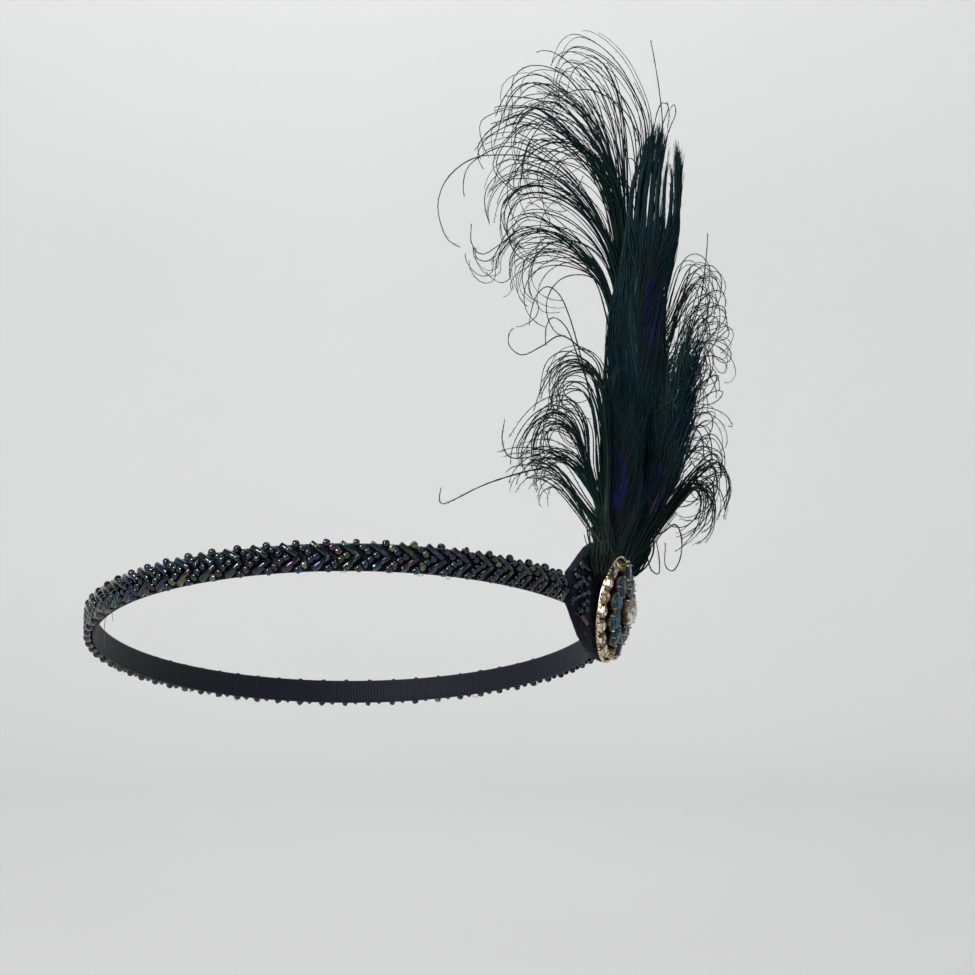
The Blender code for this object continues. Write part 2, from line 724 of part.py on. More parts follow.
def lock(root, row):
    """One curled lock: it rises from its root, arches over its peak and falls to its tip."""
    across, rise, peak_across, peak_rise, tip_across, tip_rise, depth, thick = row
    start = plume_point(across, rise, root)
    peak = plume_point(peak_across, peak_rise, root + 0.7 * (depth - root))
    tip = plume_point(tip_across, tip_rise, depth)
    curve = bpy.data.curves.new("lock", "CURVE")
    curve.dimensions = "3D"
    curve.bevel_depth = 1.0
    curve.bevel_resolution = 1
    curve.use_fill_caps = True
    curve.resolution_u = 5
    line = curve.splines.new("BEZIER")
    line.bezier_points.add(2)
    rise_arm = Vector((0, 0.6 * (peak.y - start.y), 0))
    peak_arm = Vector((0.55 * (peak.x - start.x), 0, 0.5 * (peak.z - start.z)))
    fall_arm = Vector((0.6 * (tip.x - peak.x), 0, 0.5 * (tip.z - peak.z)))
    tip_arm = Vector((0, 0.55 * (peak.y - tip.y), 0))
    radius = PLUME_HEIGHT * thick / 2
    for knot, spot, before, after, share in zip(
        line.bezier_points,
        (start, peak, tip),
        (-rise_arm, -peak_arm, tip_arm),
        (rise_arm, fall_arm, -tip_arm),
        (1.0, 0.9, 0.45),
    ):
        knot.handle_left_type = knot.handle_right_type = "FREE"
        knot.co = spot
        knot.handle_left = spot + before
        knot.handle_right = spot + after
        knot.radius = radius * share
    return curve_to_bmesh(curve)


def make_locks(name, slot, trunk, rows, finish, place):
    """A bunch of curled locks fused to the trunk that they grow from, and its stem."""
    stem = stem_points(slot)
    points = stem + [plume_point(*row[:3]) for row in trunk]
    radii = [STEM_RADIUS, STEM_RADIUS] + [PLUME_HEIGHT * row[3] for row in trunk]
    made = new_object(name, tube(points, radii), finish)
    rises = [row[1] for row in trunk]
    depths = [row[2] for row in trunk]
    bunch = [lock(float(np.interp(row[1], rises, depths)), row) for row in rows]
    boolean(made, bunch, "UNION", "MANIFOLD")
    made.parent = place
    return made


def make_feather(name, slot, layer, sections, finish, place):
    """An eye feather: its vane, a thin pointed sheet, fused to the quill that stands behind the brooch."""
    rises, middles, halves = zip(*sections)
    stem = stem_points(slot)
    stem_depth = -stem[1].z / PLUME_HEIGHT

    def depth_at(rise):
        return float(np.interp(rise, (0, 0.2), (stem_depth, layer)))

    def place_point(along, up, side):
        rise = rises[0] + along * (rises[-1] - rises[0])
        half = float(np.interp(rise, rises, halves))
        across = float(np.interp(rise, rises, middles)) + (2 * up - 1) * half
        thin = 1 - 0.7 * (2 * up - 1) ** 2
        spot = plume_point(across, rise, depth_at(rise))
        spot.z += (side - 0.5) * VANE_THICK * thin
        return spot

    made = new_object(name, sheet_body(14, VANE_ROWS, place_point), finish)
    top = len(sections) - 2
    knots = [1, top // 2, top]
    points = stem + [plume_point(middles[k], rises[k], depth_at(rises[k])) for k in knots]
    radii = [STEM_RADIUS, STEM_RADIUS, QUILL_RADIUS * 1.1, QUILL_RADIUS, QUILL_RADIUS * 0.5]
    boolean(made, [tube(points, radii)], "UNION")
    made.parent = place
    return made


def main():
    clear_scene()
    loop_place = empty("head_loop", HEAD_TILT)
    pad_place = empty("pad_seat", PAD_FRAME)
    brooch_place = empty("brooch_seat", BROOCH_FRAME)
    plume_place = empty("plume_root", PLUME_FRAME)

    ribbon = material("ribbon", (0.010, 0.011, 0.018), 0.6)
    beads = material("beads", (0.03, 0.06, 0.08), 0.2, 0.7)
    felt = material("felt", (0.010, 0.012, 0.028), 0.95)
    feather = material("feather", (0.008, 0.030, 0.032), 0.5)
    herl = material("herl", (0.012, 0.018, 0.018), 0.5)
    finishes = {
        "gold": material("gold", (0.85, 0.68, 0.42), 0.22, 1.0),
        "centre": material("crystal", (0.80, 0.82, 0.84), 0.02),
        "oval": material("teal_glass", (0.01, 0.12, 0.20), 0.04),
        "baguette": material("navy_glass", (0.01, 0.05, 0.14), 0.04),
        "small": material("violet_glass", (0.08, 0.04, 0.14), 0.04),
        "rim": material("rim_crystal", (0.70, 0.70, 0.68), 0.03),
    }

    make_ribbon(ribbon, loop_place)
    make_trim(beads, loop_place)
    make_pad(felt, pad_place)
    make_brooch(finishes, brooch_place)
    make_feather("front_feather", -1.75, FRONT_DEPTH_SHARE, FRONT_FEATHER, feather, plume_place)
    make_feather("right_feather", -0.75, RIGHT_DEPTH_SHARE, RIGHT_FEATHER, feather, plume_place)
    make_feather("tall_feather", 0.25, TALL_DEPTH_SHARE, TALL_FEATHER, feather, plume_place)
    make_locks("upper_curls", 1.25, UPPER_TRUNK, UPPER_LOCKS, herl, plume_place)
    make_locks("lower_curls", -2.75, LOWER_TRUNK, LOWER_LOCKS, herl, plume_place)
    make_locks("side_curls", 2.25, SIDE_TRUNK, SIDE_LOCKS, herl, plume_place)


main()
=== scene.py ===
import math

import bmesh
import bpy
import numpy as np
from mathutils import Matrix, Vector, noise


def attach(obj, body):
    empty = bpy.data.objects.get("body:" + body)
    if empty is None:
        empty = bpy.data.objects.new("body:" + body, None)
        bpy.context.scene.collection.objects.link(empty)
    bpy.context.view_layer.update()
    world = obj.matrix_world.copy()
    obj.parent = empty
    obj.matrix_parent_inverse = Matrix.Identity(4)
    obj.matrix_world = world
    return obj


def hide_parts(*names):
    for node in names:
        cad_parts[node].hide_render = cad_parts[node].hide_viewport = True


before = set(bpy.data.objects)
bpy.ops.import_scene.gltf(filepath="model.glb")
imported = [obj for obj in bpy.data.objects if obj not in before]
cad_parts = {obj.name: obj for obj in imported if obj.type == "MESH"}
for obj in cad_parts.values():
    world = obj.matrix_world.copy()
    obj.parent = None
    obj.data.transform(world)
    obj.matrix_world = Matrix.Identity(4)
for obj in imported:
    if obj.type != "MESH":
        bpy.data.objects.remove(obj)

bl_info = {
    "name": "Beaded headband with plume and brooch",
    "version": (1, 0, 0),
    "blender": (4, 5, 0),
    "location": "3D View > Sidebar > Headband",
    "description": "Dresses the packed headband with beads, felt, feathers, cut stones and a studio",
    "category": "Object",
}

Z_AXIS = Vector((0, 0, 1))
ON_SIDE = Matrix.Rotation(math.pi / 2, 4, "Y")
WHITE = (1.0, 1.0, 1.0)

# Where the felt pad and the brooch sit on the head loop
PAD_TURN = math.radians(77.5)
PAD_STAND_OFF = 0.0037
PAD_SLOPE = math.radians(14.2)
PAD_FLAT_HALF = 0.010
SIDE_YAW = math.radians(12)
BROOCH_LEAN = math.radians(7.5)
BROOCH_RADIUS = 0.0158
BROOCH_DROP = 0.0018
RIM_RADIUS = 0.0155

# How far apart the stems run behind the brooch, and where they stand next to each other
STEM_STEP = 0.0034
STEM_PLACES = ((BROOCH_RADIUS - 0.009, 1.0), (BROOCH_RADIUS, 1.8))

# How far a strand steps across for each unit that it comes forward, so that the plume fans evenly
SIDE_STEP = 0.445

# Points along a line while it is shaped, and along a strand of each kind
FINE_POINTS = 160
CURL_POINTS = 56
BARB_POINTS = 18
DOWN_POINTS = 14
THREAD_POINTS = 16
QUILL_POINTS = 40

# How many there are of each small thing, at a density of 1
FELT_HAIRS = 2600
FELT_BEAD_TRIES = 900
RIM_BEADS = 72
RIM_BEAD_RADIUS = 0.00046
FEATHER_WISPS = 500
HERL_FUZZ = 3400
DOWN_STRANDS = 620


# Sizes and colours


class HeadbandSizes(bpy.types.PropertyGroup):
    head_length: bpy.props.FloatProperty(
        name="Head length",
        description="Inside of the loop, front to back",
        default=0.198,
        unit="LENGTH",
    )
    head_width: bpy.props.FloatProperty(
        name="Head width", description="Inside of the loop, side to side", default=0.151, unit="LENGTH"
    )
    forehead_rise: bpy.props.FloatProperty(
        name="Forehead rise",
        description="Tilt that lifts the front",
        default=math.radians(14.7),
        unit="ROTATION",
    )
    left_rise: bpy.props.FloatProperty(
        name="Left rise",
        description="Tilt that lifts the plume's side",
        default=math.radians(3.6),
        unit="ROTATION",
    )
    ribbon_width: bpy.props.FloatProperty(
        name="Ribbon width", description="Height of the ribbon", default=0.0076, unit="LENGTH"
    )
    ribbon_thick: bpy.props.FloatProperty(
        name="Ribbon thickness", description="Thickness of the ribbon", default=0.001, unit="LENGTH"
    )
    gap: bpy.props.FloatProperty(
        name="Gap", description="Clearance between touching pieces", default=0.0003, unit="LENGTH"
    )
    pitch: bpy.props.FloatProperty(
        name="Chevron pitch",
        description="From one bugle bead to the next in a row",
        default=0.0081,
        unit="LENGTH",
    )
    bugle_length: bpy.props.FloatProperty(
        name="Bugle length", description="Length of a bugle bead", default=0.0057, unit="LENGTH"
    )
    bugle_radius: bpy.props.FloatProperty(
        name="Bugle radius", description="Radius of a bugle bead", default=0.00096, unit="LENGTH"
    )
    bugle_slant: bpy.props.FloatProperty(
        name="Bugle slant",
        description="Angle between a bugle and the ribbon",
        default=math.radians(35),
        unit="ROTATION",
    )
    seed_radius: bpy.props.FloatProperty(
        name="Seed radius", description="Radius of a round seed bead", default=0.00114, unit="LENGTH"
    )
    pad_half_length: bpy.props.FloatProperty(
        name="Pad half length",
        description="Half of the felt pad's length",
        default=0.024,
        unit="LENGTH",
    )
    pad_half_height: bpy.props.FloatProperty(
        name="Pad half height",
        description="Half of the felt pad's height",
        default=0.0166,
        unit="LENGTH",
    )
    pad_thick: bpy.props.FloatProperty(
        name="Pad thickness", description="Thickness of the felt pad", default=0.0022, unit="LENGTH"
    )
    ribbon_colour: bpy.props.FloatVectorProperty(
        name="Ribbon colour",
        description="Colour of the ribbon",
        default=(0.006, 0.007, 0.012),
        subtype="COLOR",
    )
    felt_colour: bpy.props.FloatVectorProperty(
        name="Felt colour",
        description="Colour of the felt pad",
        default=(0.004, 0.006, 0.012),
        subtype="COLOR",
    )


class BroochColours(bpy.types.PropertyGroup):
    gold: bpy.props.FloatVectorProperty(
        name="Gold",
        description="Colour of the plated setting",
        default=(0.88, 0.74, 0.52),
        subtype="COLOR",
    )
    teal: bpy.props.FloatVectorProperty(
        name="Teal",
        description="Colour of the oval stones",
        default=(0.002, 0.085, 0.15),
        subtype="COLOR",
    )
    navy: bpy.props.FloatVectorProperty(
        name="Navy",
        description="Colour of the long stones",
        default=(0.004, 0.028, 0.10),
        subtype="COLOR",
    )
    violet: bpy.props.FloatVectorProperty(
        name="Violet",
        description="Colour of the small stones",
        default=(0.05, 0.016, 0.085),
        subtype="COLOR",
    )


class PlumeSizes(bpy.types.PropertyGroup):
    height: bpy.props.FloatProperty(
        name="Plume height",
        description="From the brooch to the top of the curls",
        default=0.150,
        unit="LENGTH",
    )
    yaw: bpy.props.FloatProperty(
        name="Plume turn",
        description="Turn of the plume's face",
        default=math.radians(30),
        unit="ROTATION",
    )
    strand_radius: bpy.props.FloatProperty(
        name="Strand radius", description="Radius of a strand of herl", default=0.00020, unit="LENGTH"
    )
    density: bpy.props.FloatProperty(
        name="Density", description="Share of the strands that is made", default=1.0, subtype="FACTOR"
    )


class StudioSettings(bpy.types.PropertyGroup):
    wall_colour: bpy.props.FloatVectorProperty(
        name="Wall colour",
        description="Colour of the backdrop",
        default=(0.62, 0.625, 0.625),
        subtype="COLOR",
    )
    floor_height: bpy.props.FloatProperty(
        name="Floor height", description="Height of the floor", default=-0.20, unit="LENGTH"
    )
    room_radius: bpy.props.FloatProperty(
        name="Room radius", description="Radius of the round wall", default=1.8, unit="LENGTH"
    )
    camera_turn: bpy.props.FloatProperty(
        name="Camera turn",
        description="Turn of the camera round the object",
        default=math.radians(6),
        unit="ROTATION",
    )
    camera_side: bpy.props.FloatProperty(
        name="Camera side", description="Camera place across the view", default=0.0414, unit="LENGTH"
    )
    camera_height: bpy.props.FloatProperty(
        name="Camera height", description="Height of the camera", default=0.0443, unit="LENGTH"
    )
    camera_distance: bpy.props.FloatProperty(
        name="Camera distance", description="Distance of the camera", default=0.780, unit="LENGTH"
    )
    lens: bpy.props.FloatProperty(name="Lens", description="Focal length in millimetres", default=94.4)


def sizes():
    return bpy.context.scene.headband_sizes


def plume():
    return bpy.context.scene.plume_sizes


def shade(colour, share):
    """A colour made darker or lighter by a share."""
    return tuple(share * channel for channel in colour)


# Shader maths


class Tone:
    """A shader socket that takes part in Python expressions."""

    def __init__(self, tree, socket):
        self.tree = tree
        self.socket = socket

    def node(self, kind, settings=None, stops=None, output=0, **inputs):
        """Adds a node: its settings and ramp stops first, then the values or links of its sockets."""
        made = self.tree.nodes.new(kind)
        for name, value in (settings or {}).items():
            setattr(made, name, value)
        if stops:
            ramp = made.color_ramp
            while len(ramp.elements) < len(stops):
                ramp.elements.new(0.5)
            for element, (place, colour) in zip(ramp.elements, stops):
                element.position = place
                element.color = (*colour, 1)
        for name, value in inputs.items():
            key = int(name[1:]) if name[0] == "i" and name[1:].isdigit() else name.replace("_", " ")
            socket = made.inputs[key]
            if isinstance(value, Tone):
                self.tree.links.new(value.socket, socket)
            else:
                socket.default_value = value
        return Tone(self.tree, made.outputs[output])

    def maths(self, operation, other=0.5):
        return self.node("ShaderNodeMath", {"operation": operation}, i0=self, i1=other)

    def __add__(self, other):
        return self.maths("ADD", other)

    __radd__ = __add__

    def __sub__(self, other):
        return self.maths("SUBTRACT", other)

    def __rsub__(self, other):
        return self.node("ShaderNodeMath", {"operation": "SUBTRACT"}, i0=other, i1=self)

    def __mul__(self, other):
        return self.maths("MULTIPLY", other)

    __rmul__ = __mul__

    def __pow__(self, other):
        return self.maths("POWER", other)

    def __gt__(self, other):
        return self.maths("GREATER_THAN", other)

    def clamp(self):
        return self.node("ShaderNodeClamp", i0=self)

    def between(self, low, high, out_low=0.0, out_high=1.0):
        """A smooth step from low to high."""
        return self.node(
            "ShaderNodeMapRange",
            {"interpolation_type": "SMOOTHSTEP"},
            Value=self,
            From_Min=low,
            From_Max=high,
            To_Min=out_low,
            To_Max=out_high,
        )

    def ramp(self, stops):
        return self.node("ShaderNodeValToRGB", None, stops, i0=self)

    def mix(self, first, second):
        """Colours mixed by this value."""
        made = self.tree.nodes.new("ShaderNodeMix")
        made.data_type = "RGBA"
        for index, value in ((0, self), (6, first), (7, second)):
            if isinstance(value, Tone):
                self.tree.links.new(value.socket, made.inputs[index])
            elif index == 0:
                made.inputs[index].default_value = value
            else:
                made.inputs[index].default_value = (*value, 1)
        return Tone(self.tree, made.outputs[2])

    def shift(self, operation, vector):
        """Vector maths on this vector."""
        return self.node("ShaderNodeVectorMath", {"operation": operation}, i0=self, i1=vector)

    def axes(self):
        made = self.tree.nodes.new("ShaderNodeSeparateXYZ")
        self.tree.links.new(self.socket, made.inputs[0])
        return tuple(Tone(self.tree, output) for output in made.outputs)


class Finish:
    """A material: its tree, its shader and its starting sockets."""

    def __init__(self, name, **constants):
        self.material = bpy.data.materials.new(name)
        self.material.use_nodes = True
        self.tree = self.material.node_tree
        self.shader = self.tree.nodes["Principled BSDF"]
        for key, value in constants.items():
            self.shader.inputs[key.replace("_", " ")].default_value = value
        start = self.tree.nodes.new("ShaderNodeTexCoord")
        self.place = Tone(self.tree, start.outputs["Object"])
        self.uv = Tone(self.tree, start.outputs["UV"])

    def attribute(self, name):
        return self.place.node("ShaderNodeAttribute", {"attribute_name": name}, output=2)

    def noise(self, scale, detail=3.0, vector=None, rough=0.5):
        vector = vector or self.place
        inputs = {"Vector": vector, "Scale": scale, "Detail": detail, "Roughness": rough}
        return vector.node("ShaderNodeTexNoise", **inputs)

    def link(self, **tones):
        for key, tone in tones.items():
            self.tree.links.new(tone.socket, self.shader.inputs[key.replace("_", " ")])
        return self

    def bump(self, height, strength, distance):
        tone = height.node("ShaderNodeBump", Strength=strength, Distance=distance, Height=height)
        return self.link(Normal=tone)


# Shared shape makers


def head_tilt():
    s = sizes()
    return Matrix.Rotation(-s.left_rise, 4, "Y") @ Matrix.Rotation(-s.forehead_rise, 4, "X")


def loop_point(turn, outset, lift=0.0):
    """A point beside the head loop in the loop's own frame."""
    half_x, half_y = sizes().head_width / 2, sizes().head_length / 2
    point = Vector((half_x * math.sin(turn), -half_y * math.cos(turn), 0))
    normal = Vector((math.sin(turn) / half_x, -math.cos(turn) / half_y, 0)).normalized()
    return point + normal * outset + Z_AXIS * lift


class LoopLine:
    """Arc lengths along the line that the beads follow."""

    def __init__(self, outset):
        self.turns = np.linspace(0, 4 * math.pi, 2881)
        line = np.array([loop_point(turn, outset) for turn in self.turns])
        steps = np.linalg.norm(np.diff(line, axis=0), axis=1)
        self.lengths = np.concatenate([[0], np.cumsum(steps)])

    def turn_at(self, length):
        return float(np.interp(length, self.lengths, self.turns))

    def length_at(self, turn):
        return float(np.interp(turn, self.turns, self.lengths))

    def frame(self, length, outset, lift):
        """Axes along the band, up it and out of it, at a place on the beads' line."""
        tilt = head_tilt()
        turn = self.turn_at(length)
        spot = tilt @ loop_point(turn, outset, lift)
        ahead = tilt @ loop_point(turn + 0.001, outset, lift)
        along = (ahead - spot).normalized()
        up = tilt.to_3x3() @ Z_AXIS
        return frame_matrix(spot, along, up, along.cross(up))


def frame_matrix(origin, x_axis, y_axis, z_axis):
    matrix = Matrix((x_axis, y_axis, z_axis)).transposed().to_4x4()
    matrix.translation = origin
    return matrix


def shape_mesh(name, bm):
    mesh = bpy.data.meshes.new(name)
    bm.to_mesh(mesh)
    bm.free()
    return mesh


def riding_piece(name, mesh, finish):
    """A smooth mesh piece with one finish that rides on the headband."""
    mesh.shade_smooth()
    mesh.materials.clear()
    mesh.materials.append(finish)
    piece = bpy.data.objects.new(name, mesh)
    bpy.context.scene.collection.objects.link(piece)
    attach(piece, "root")
    return piece


def add_piece(name, bm, finish):
    return riding_piece(name, shape_mesh(name, bm), finish)


class Copies:
    """Many copies of small shapes in one mesh, each with its own tint."""

    def __init__(self):
        self.bm = bmesh.new()
        self.tint = self.bm.verts.layers.float.new("tint")

    def add(self, shape, matrix, tint):
        known = len(self.bm.verts)
        self.bm.from_mesh(shape)
        self.bm.verts.ensure_lookup_table()
        fresh = self.bm.verts[known:]
        for vert in fresh:
            vert[self.tint] = tint
        bmesh.ops.transform(self.bm, matrix=matrix, verts=fresh)


def ring_of(bm, count, radius, height):
    made = bmesh.ops.create_circle(bm, segments=count, radius=radius)
    bmesh.ops.translate(bm, verts=made["verts"], vec=(0, 0, height))
    return list({edge for vert in made["verts"] for edge in vert.link_edges})


def bored_bead(name, count, sections):
    """A bead with a hole along Z, from rings of radius and height that run round its wall."""
    bm = bmesh.new()
    rings = [ring_of(bm, count, radius, height) for radius, height in sections]
    for first, second in zip(rings, rings[1:] + rings[:1]):
        bmesh.ops.bridge_loops(bm, edges=first + second)
    bmesh.ops.recalc_face_normals(bm, faces=list(bm.faces))
    if bm.calc_volume(signed=True) < 0:
        bmesh.ops.reverse_faces(bm, faces=list(bm.faces))
    return shape_mesh(name, bm)


def bugle_shape():
    s = sizes()
    half, radius = s.bugle_length / 2, s.bugle_radius
    hole, edge = radius * 0.48, radius * 0.12
    return bored_bead(
        "bugle",
        10,
        [
            (hole, -half),
            (radius - edge, -half),
            (radius, -half + edge),
            (radius, half - edge),
            (radius - edge, half),
            (hole, half),
            (hole * 0.9, 0),
        ],
    )


def seed_shape():
    radius = sizes().seed_radius
    tall = radius * 0.74
    hole = radius * 0.36
    return bored_bead(
        "seed",
        10,
        [
            (hole, -tall * 0.85),
            (radius * 0.72, -tall),
            (radius * 0.97, -tall * 0.45),
            (radius * 0.97, tall * 0.45),
            (radius * 0.72, tall),
            (hole, tall * 0.85),
        ],
    )


# The felt pad

PAD_OUTLINE = [
    # share of the half length, share of the half height
    (0.0, 1.0),
    (0.30, 0.985),
    (0.50, 0.92),
    (0.65, 0.80),
    (0.78, 0.62),
    (0.90, 0.40),
    (1.0, 0.235),
]


class PadShape:
    """The felt pad: flat behind the brooch and bent in to the ribbon at its two tips."""

    def __init__(self):
        axes = plume_axes()
        along = axes["side_back"] * math.cos(PAD_SLOPE) - Z_AXIS * math.sin(PAD_SLOPE)
        self.frame = frame_matrix(axes["pad"], along, axes["side_out"].cross(along), axes["side_out"])
        self.turns = np.linspace(PAD_TURN - 1, PAD_TURN + 1, 401)
        inverse = self.frame.inverted()
        thick = sizes().ribbon_thick
        beside = [inverse @ (head_tilt() @ loop_point(turn, thick)) for turn in self.turns]
        self.places, self.outs = [spot.x for spot in beside], [spot.z for spot in beside]

    def turn_beside(self, reach):
        """The turn round the loop where the ribbon passes a place along the pad."""
        return float(np.interp(reach, self.places, self.turns))

    def point(self, share, up, side):
        """A place in the pad: shares along and up it, -1 to 1, and from its back, 0, to its front, 1."""
        s = sizes()
        length, thick = s.pad_half_length, s.pad_thick
        tip_out = float(np.interp(math.copysign(length, share), self.places, self.outs)) + s.gap
        bend = max(0.0, abs(share) * length - PAD_FLAT_HALF) / (length - PAD_FLAT_HALF)
        out = -thick + (tip_out + thick) * bend**2 + side * thick
        half = s.pad_half_height * float(np.interp(abs(share), *zip(*PAD_OUTLINE)))
        return self.frame @ Vector((share * length, up * half, out))

    def frame_at(self, share, up, lift):
        """Axes along the pad, up it and out of it, at a place over its front."""
        spot = self.point(share, up, 1)
        along = (self.point(share + 0.01, up, 1) - self.point(share - 0.01, up, 1)).normalized()
        rise = (self.point(share, up + 0.01, 1) - self.point(share, up - 0.01, 1)).normalized()
        out = along.cross(rise).normalized()
        return frame_matrix(spot + out * lift, along, out.cross(along), out)


def pad_body():
    """The pad's closed body with soft edges and a slightly uneven face."""
    pad = PadShape()
    front = [(up, 1.0) for up in np.linspace(-0.97, 0.97, 27)]
    back = [(up, 0.0) for up in np.linspace(0.97, -0.97, 13)]
    edge = [(0.990, 0.90), (0.999, 0.65), (0.999, 0.35), (0.990, 0.10)]
    section = front + edge + back + [(-up, side) for up, side in reversed(edge)]
    bm = bmesh.new()
    rings = []
    for share in np.concatenate([[-1.0], np.linspace(-0.992, 0.992, 71), [1.0]]):
        flat = 0.55 if abs(share) == 1.0 else 1.0
        ring = []
        for up, side in section:
            spot = pad.point(share, up, 0.5 + (side - 0.5) * flat)
            bump = noise.noise(spot * 420) * 0.00011 + noise.noise(spot * 1500) * 0.00005
            ring.append(bm.verts.new(spot + pad.frame.to_3x3() @ Vector((0, 0, bump))))
        rings.append(ring)
    for first, second in zip(rings, rings[1:]):
        for a, b, c, d in zip(first, first[1:] + first[:1], second[1:] + second[:1], second):
            bm.faces.new((a, b, c, d))
    bm.faces.new(rings[0])
    bm.faces.new(rings[-1])
    bmesh.ops.recalc_face_normals(bm, faces=list(bm.faces))
    return bm


# Strands of herl


def smooth_lines(guide, count):
    """Points at even steps along a smooth line through the guide's points."""
    guide = np.asarray(guide, float)
    ends = np.vstack([2 * guide[0] - guide[1], guide, 2 * guide[-1] - guide[-2]])
    spans = len(guide) - 1
    fine = np.linspace(0, spans - 1e-6, FINE_POINTS)
    index = fine.astype(int)
    t = (fine - index)[:, None]
    p0, p1, p2, p3 = ends[index], ends[index + 1], ends[index + 2], ends[index + 3]
    bend, twist = 2 * p0 - 5 * p1 + 4 * p2 - p3, 3 * p1 - p0 - 3 * p2 + p3
    line = 0.5 * (2 * p1 + (p2 - p0) * t + bend * t**2 + twist * t**3)
    run = np.concatenate([[0], np.cumsum(np.linalg.norm(np.diff(line, axis=0), axis=1))])
    even = np.linspace(0, run[-1], count)
    return np.column_stack([np.interp(even, run, column) for column in line.T])


def strand_mesh(name, lines, radii, tints, sides=3):
    """A closed tapered tube along each line, all in one mesh, with its tint and place along it."""
    profile = bpy.data.curves.new("strand_section", "CURVE")
    section = profile.splines.new("POLY")
    section.points.add(sides - 1)
    for corner, point in enumerate(section.points):
        turn = 2 * math.pi * corner / sides
        point.co = (math.cos(turn), math.sin(turn), 0, 1)
    section.use_cyclic_u = True
    profile_holder = bpy.data.objects.new("strand_section", profile)
    curve = bpy.data.curves.new(name, "CURVE")
    curve.dimensions = "3D"
    curve.bevel_mode = "OBJECT"
    curve.bevel_object = profile_holder
    curve.use_fill_caps = True
    count = lines.shape[1]
    for line, radius in zip(lines, radii):
        spline = curve.splines.new("POLY")
        spline.points.add(count - 1)
        spline.points.foreach_set("co", np.hstack([line, np.ones((count, 1))]).ravel())
        spline.points.foreach_set("radius", radius)
    holder = bpy.data.objects.new(name, curve)
    for item in (profile_holder, holder):
        bpy.context.scene.collection.objects.link(item)
    graph = bpy.context.evaluated_depsgraph_get()
    mesh = bpy.data.meshes.new_from_object(holder.evaluated_get(graph))
    for item in (holder, profile_holder):
        bpy.data.objects.remove(item)
    each = len(mesh.vertices) // len(lines)
    along = np.tile(np.repeat(np.linspace(0, 1, count), sides), len(lines))
    for key, values in (("tint", np.repeat(tints, each)), ("along", along)):
        layer = mesh.attributes.new(key, "FLOAT", "POINT")
        layer.data.foreach_set("value", np.resize(values, len(mesh.vertices)).astype(np.float32))
    return mesh


def plume_axes():
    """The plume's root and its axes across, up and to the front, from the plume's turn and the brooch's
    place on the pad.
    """
    yaw = plume().yaw
    across = Vector((math.cos(yaw), math.sin(yaw), 0))
    front = Vector((math.sin(yaw), -math.cos(yaw), 0))
    side_out = Vector((math.cos(SIDE_YAW), -math.sin(SIDE_YAW), 0))
    side_back = Vector((math.sin(SIDE_YAW), math.cos(SIDE_YAW), 0))
    s = sizes()
    pad_middle = head_tilt() @ loop_point(PAD_TURN, s.ribbon_thick + PAD_STAND_OFF)
    out = side_out * math.cos(BROOCH_LEAN) - Z_AXIS * math.sin(BROOCH_LEAN)
    up = out.cross(side_back)
    stand = BROOCH_RADIUS * math.sin(BROOCH_LEAN)
    brooch = pad_middle + side_out * (stand + s.gap) - Z_AXIS * BROOCH_DROP
    wedge = (s.gap + 2 * stand) / 2
    return {
        "root": brooch + up * BROOCH_RADIUS - out * wedge,
        "across": across,
        "up": Z_AXIS,
        "front": front,
        "brooch": frame_matrix(brooch, side_back, up, out),
        "pad": pad_middle,
        "side_out": side_out,
        "side_back": side_back,
    }


def stem_shares(slot):
    """Two places on a stem behind the brooch, in shares of the plume's height."""
    axes = plume_axes()
    places = []
    for up, fan in STEM_PLACES:
        wedge = (sizes().gap + (BROOCH_RADIUS + up) * math.sin(BROOCH_LEAN)) / 2
        away = axes["brooch"] @ Vector((slot * fan * STEM_STEP, up, -wedge)) - axes["root"]
        places.append([away.dot(axes[key]) / plume().height for key in ("across", "up", "front")])
    return np.array(places)


def plume_points(shares):
    """Points in the scene from shares of the plume's height: across, rise and towards the front."""
    axes = plume_axes()
    basis = np.array([axes["across"], axes["up"], axes["front"]])
    return np.array(axes["root"]) + (np.asarray(shares) * plume().height) @ basis


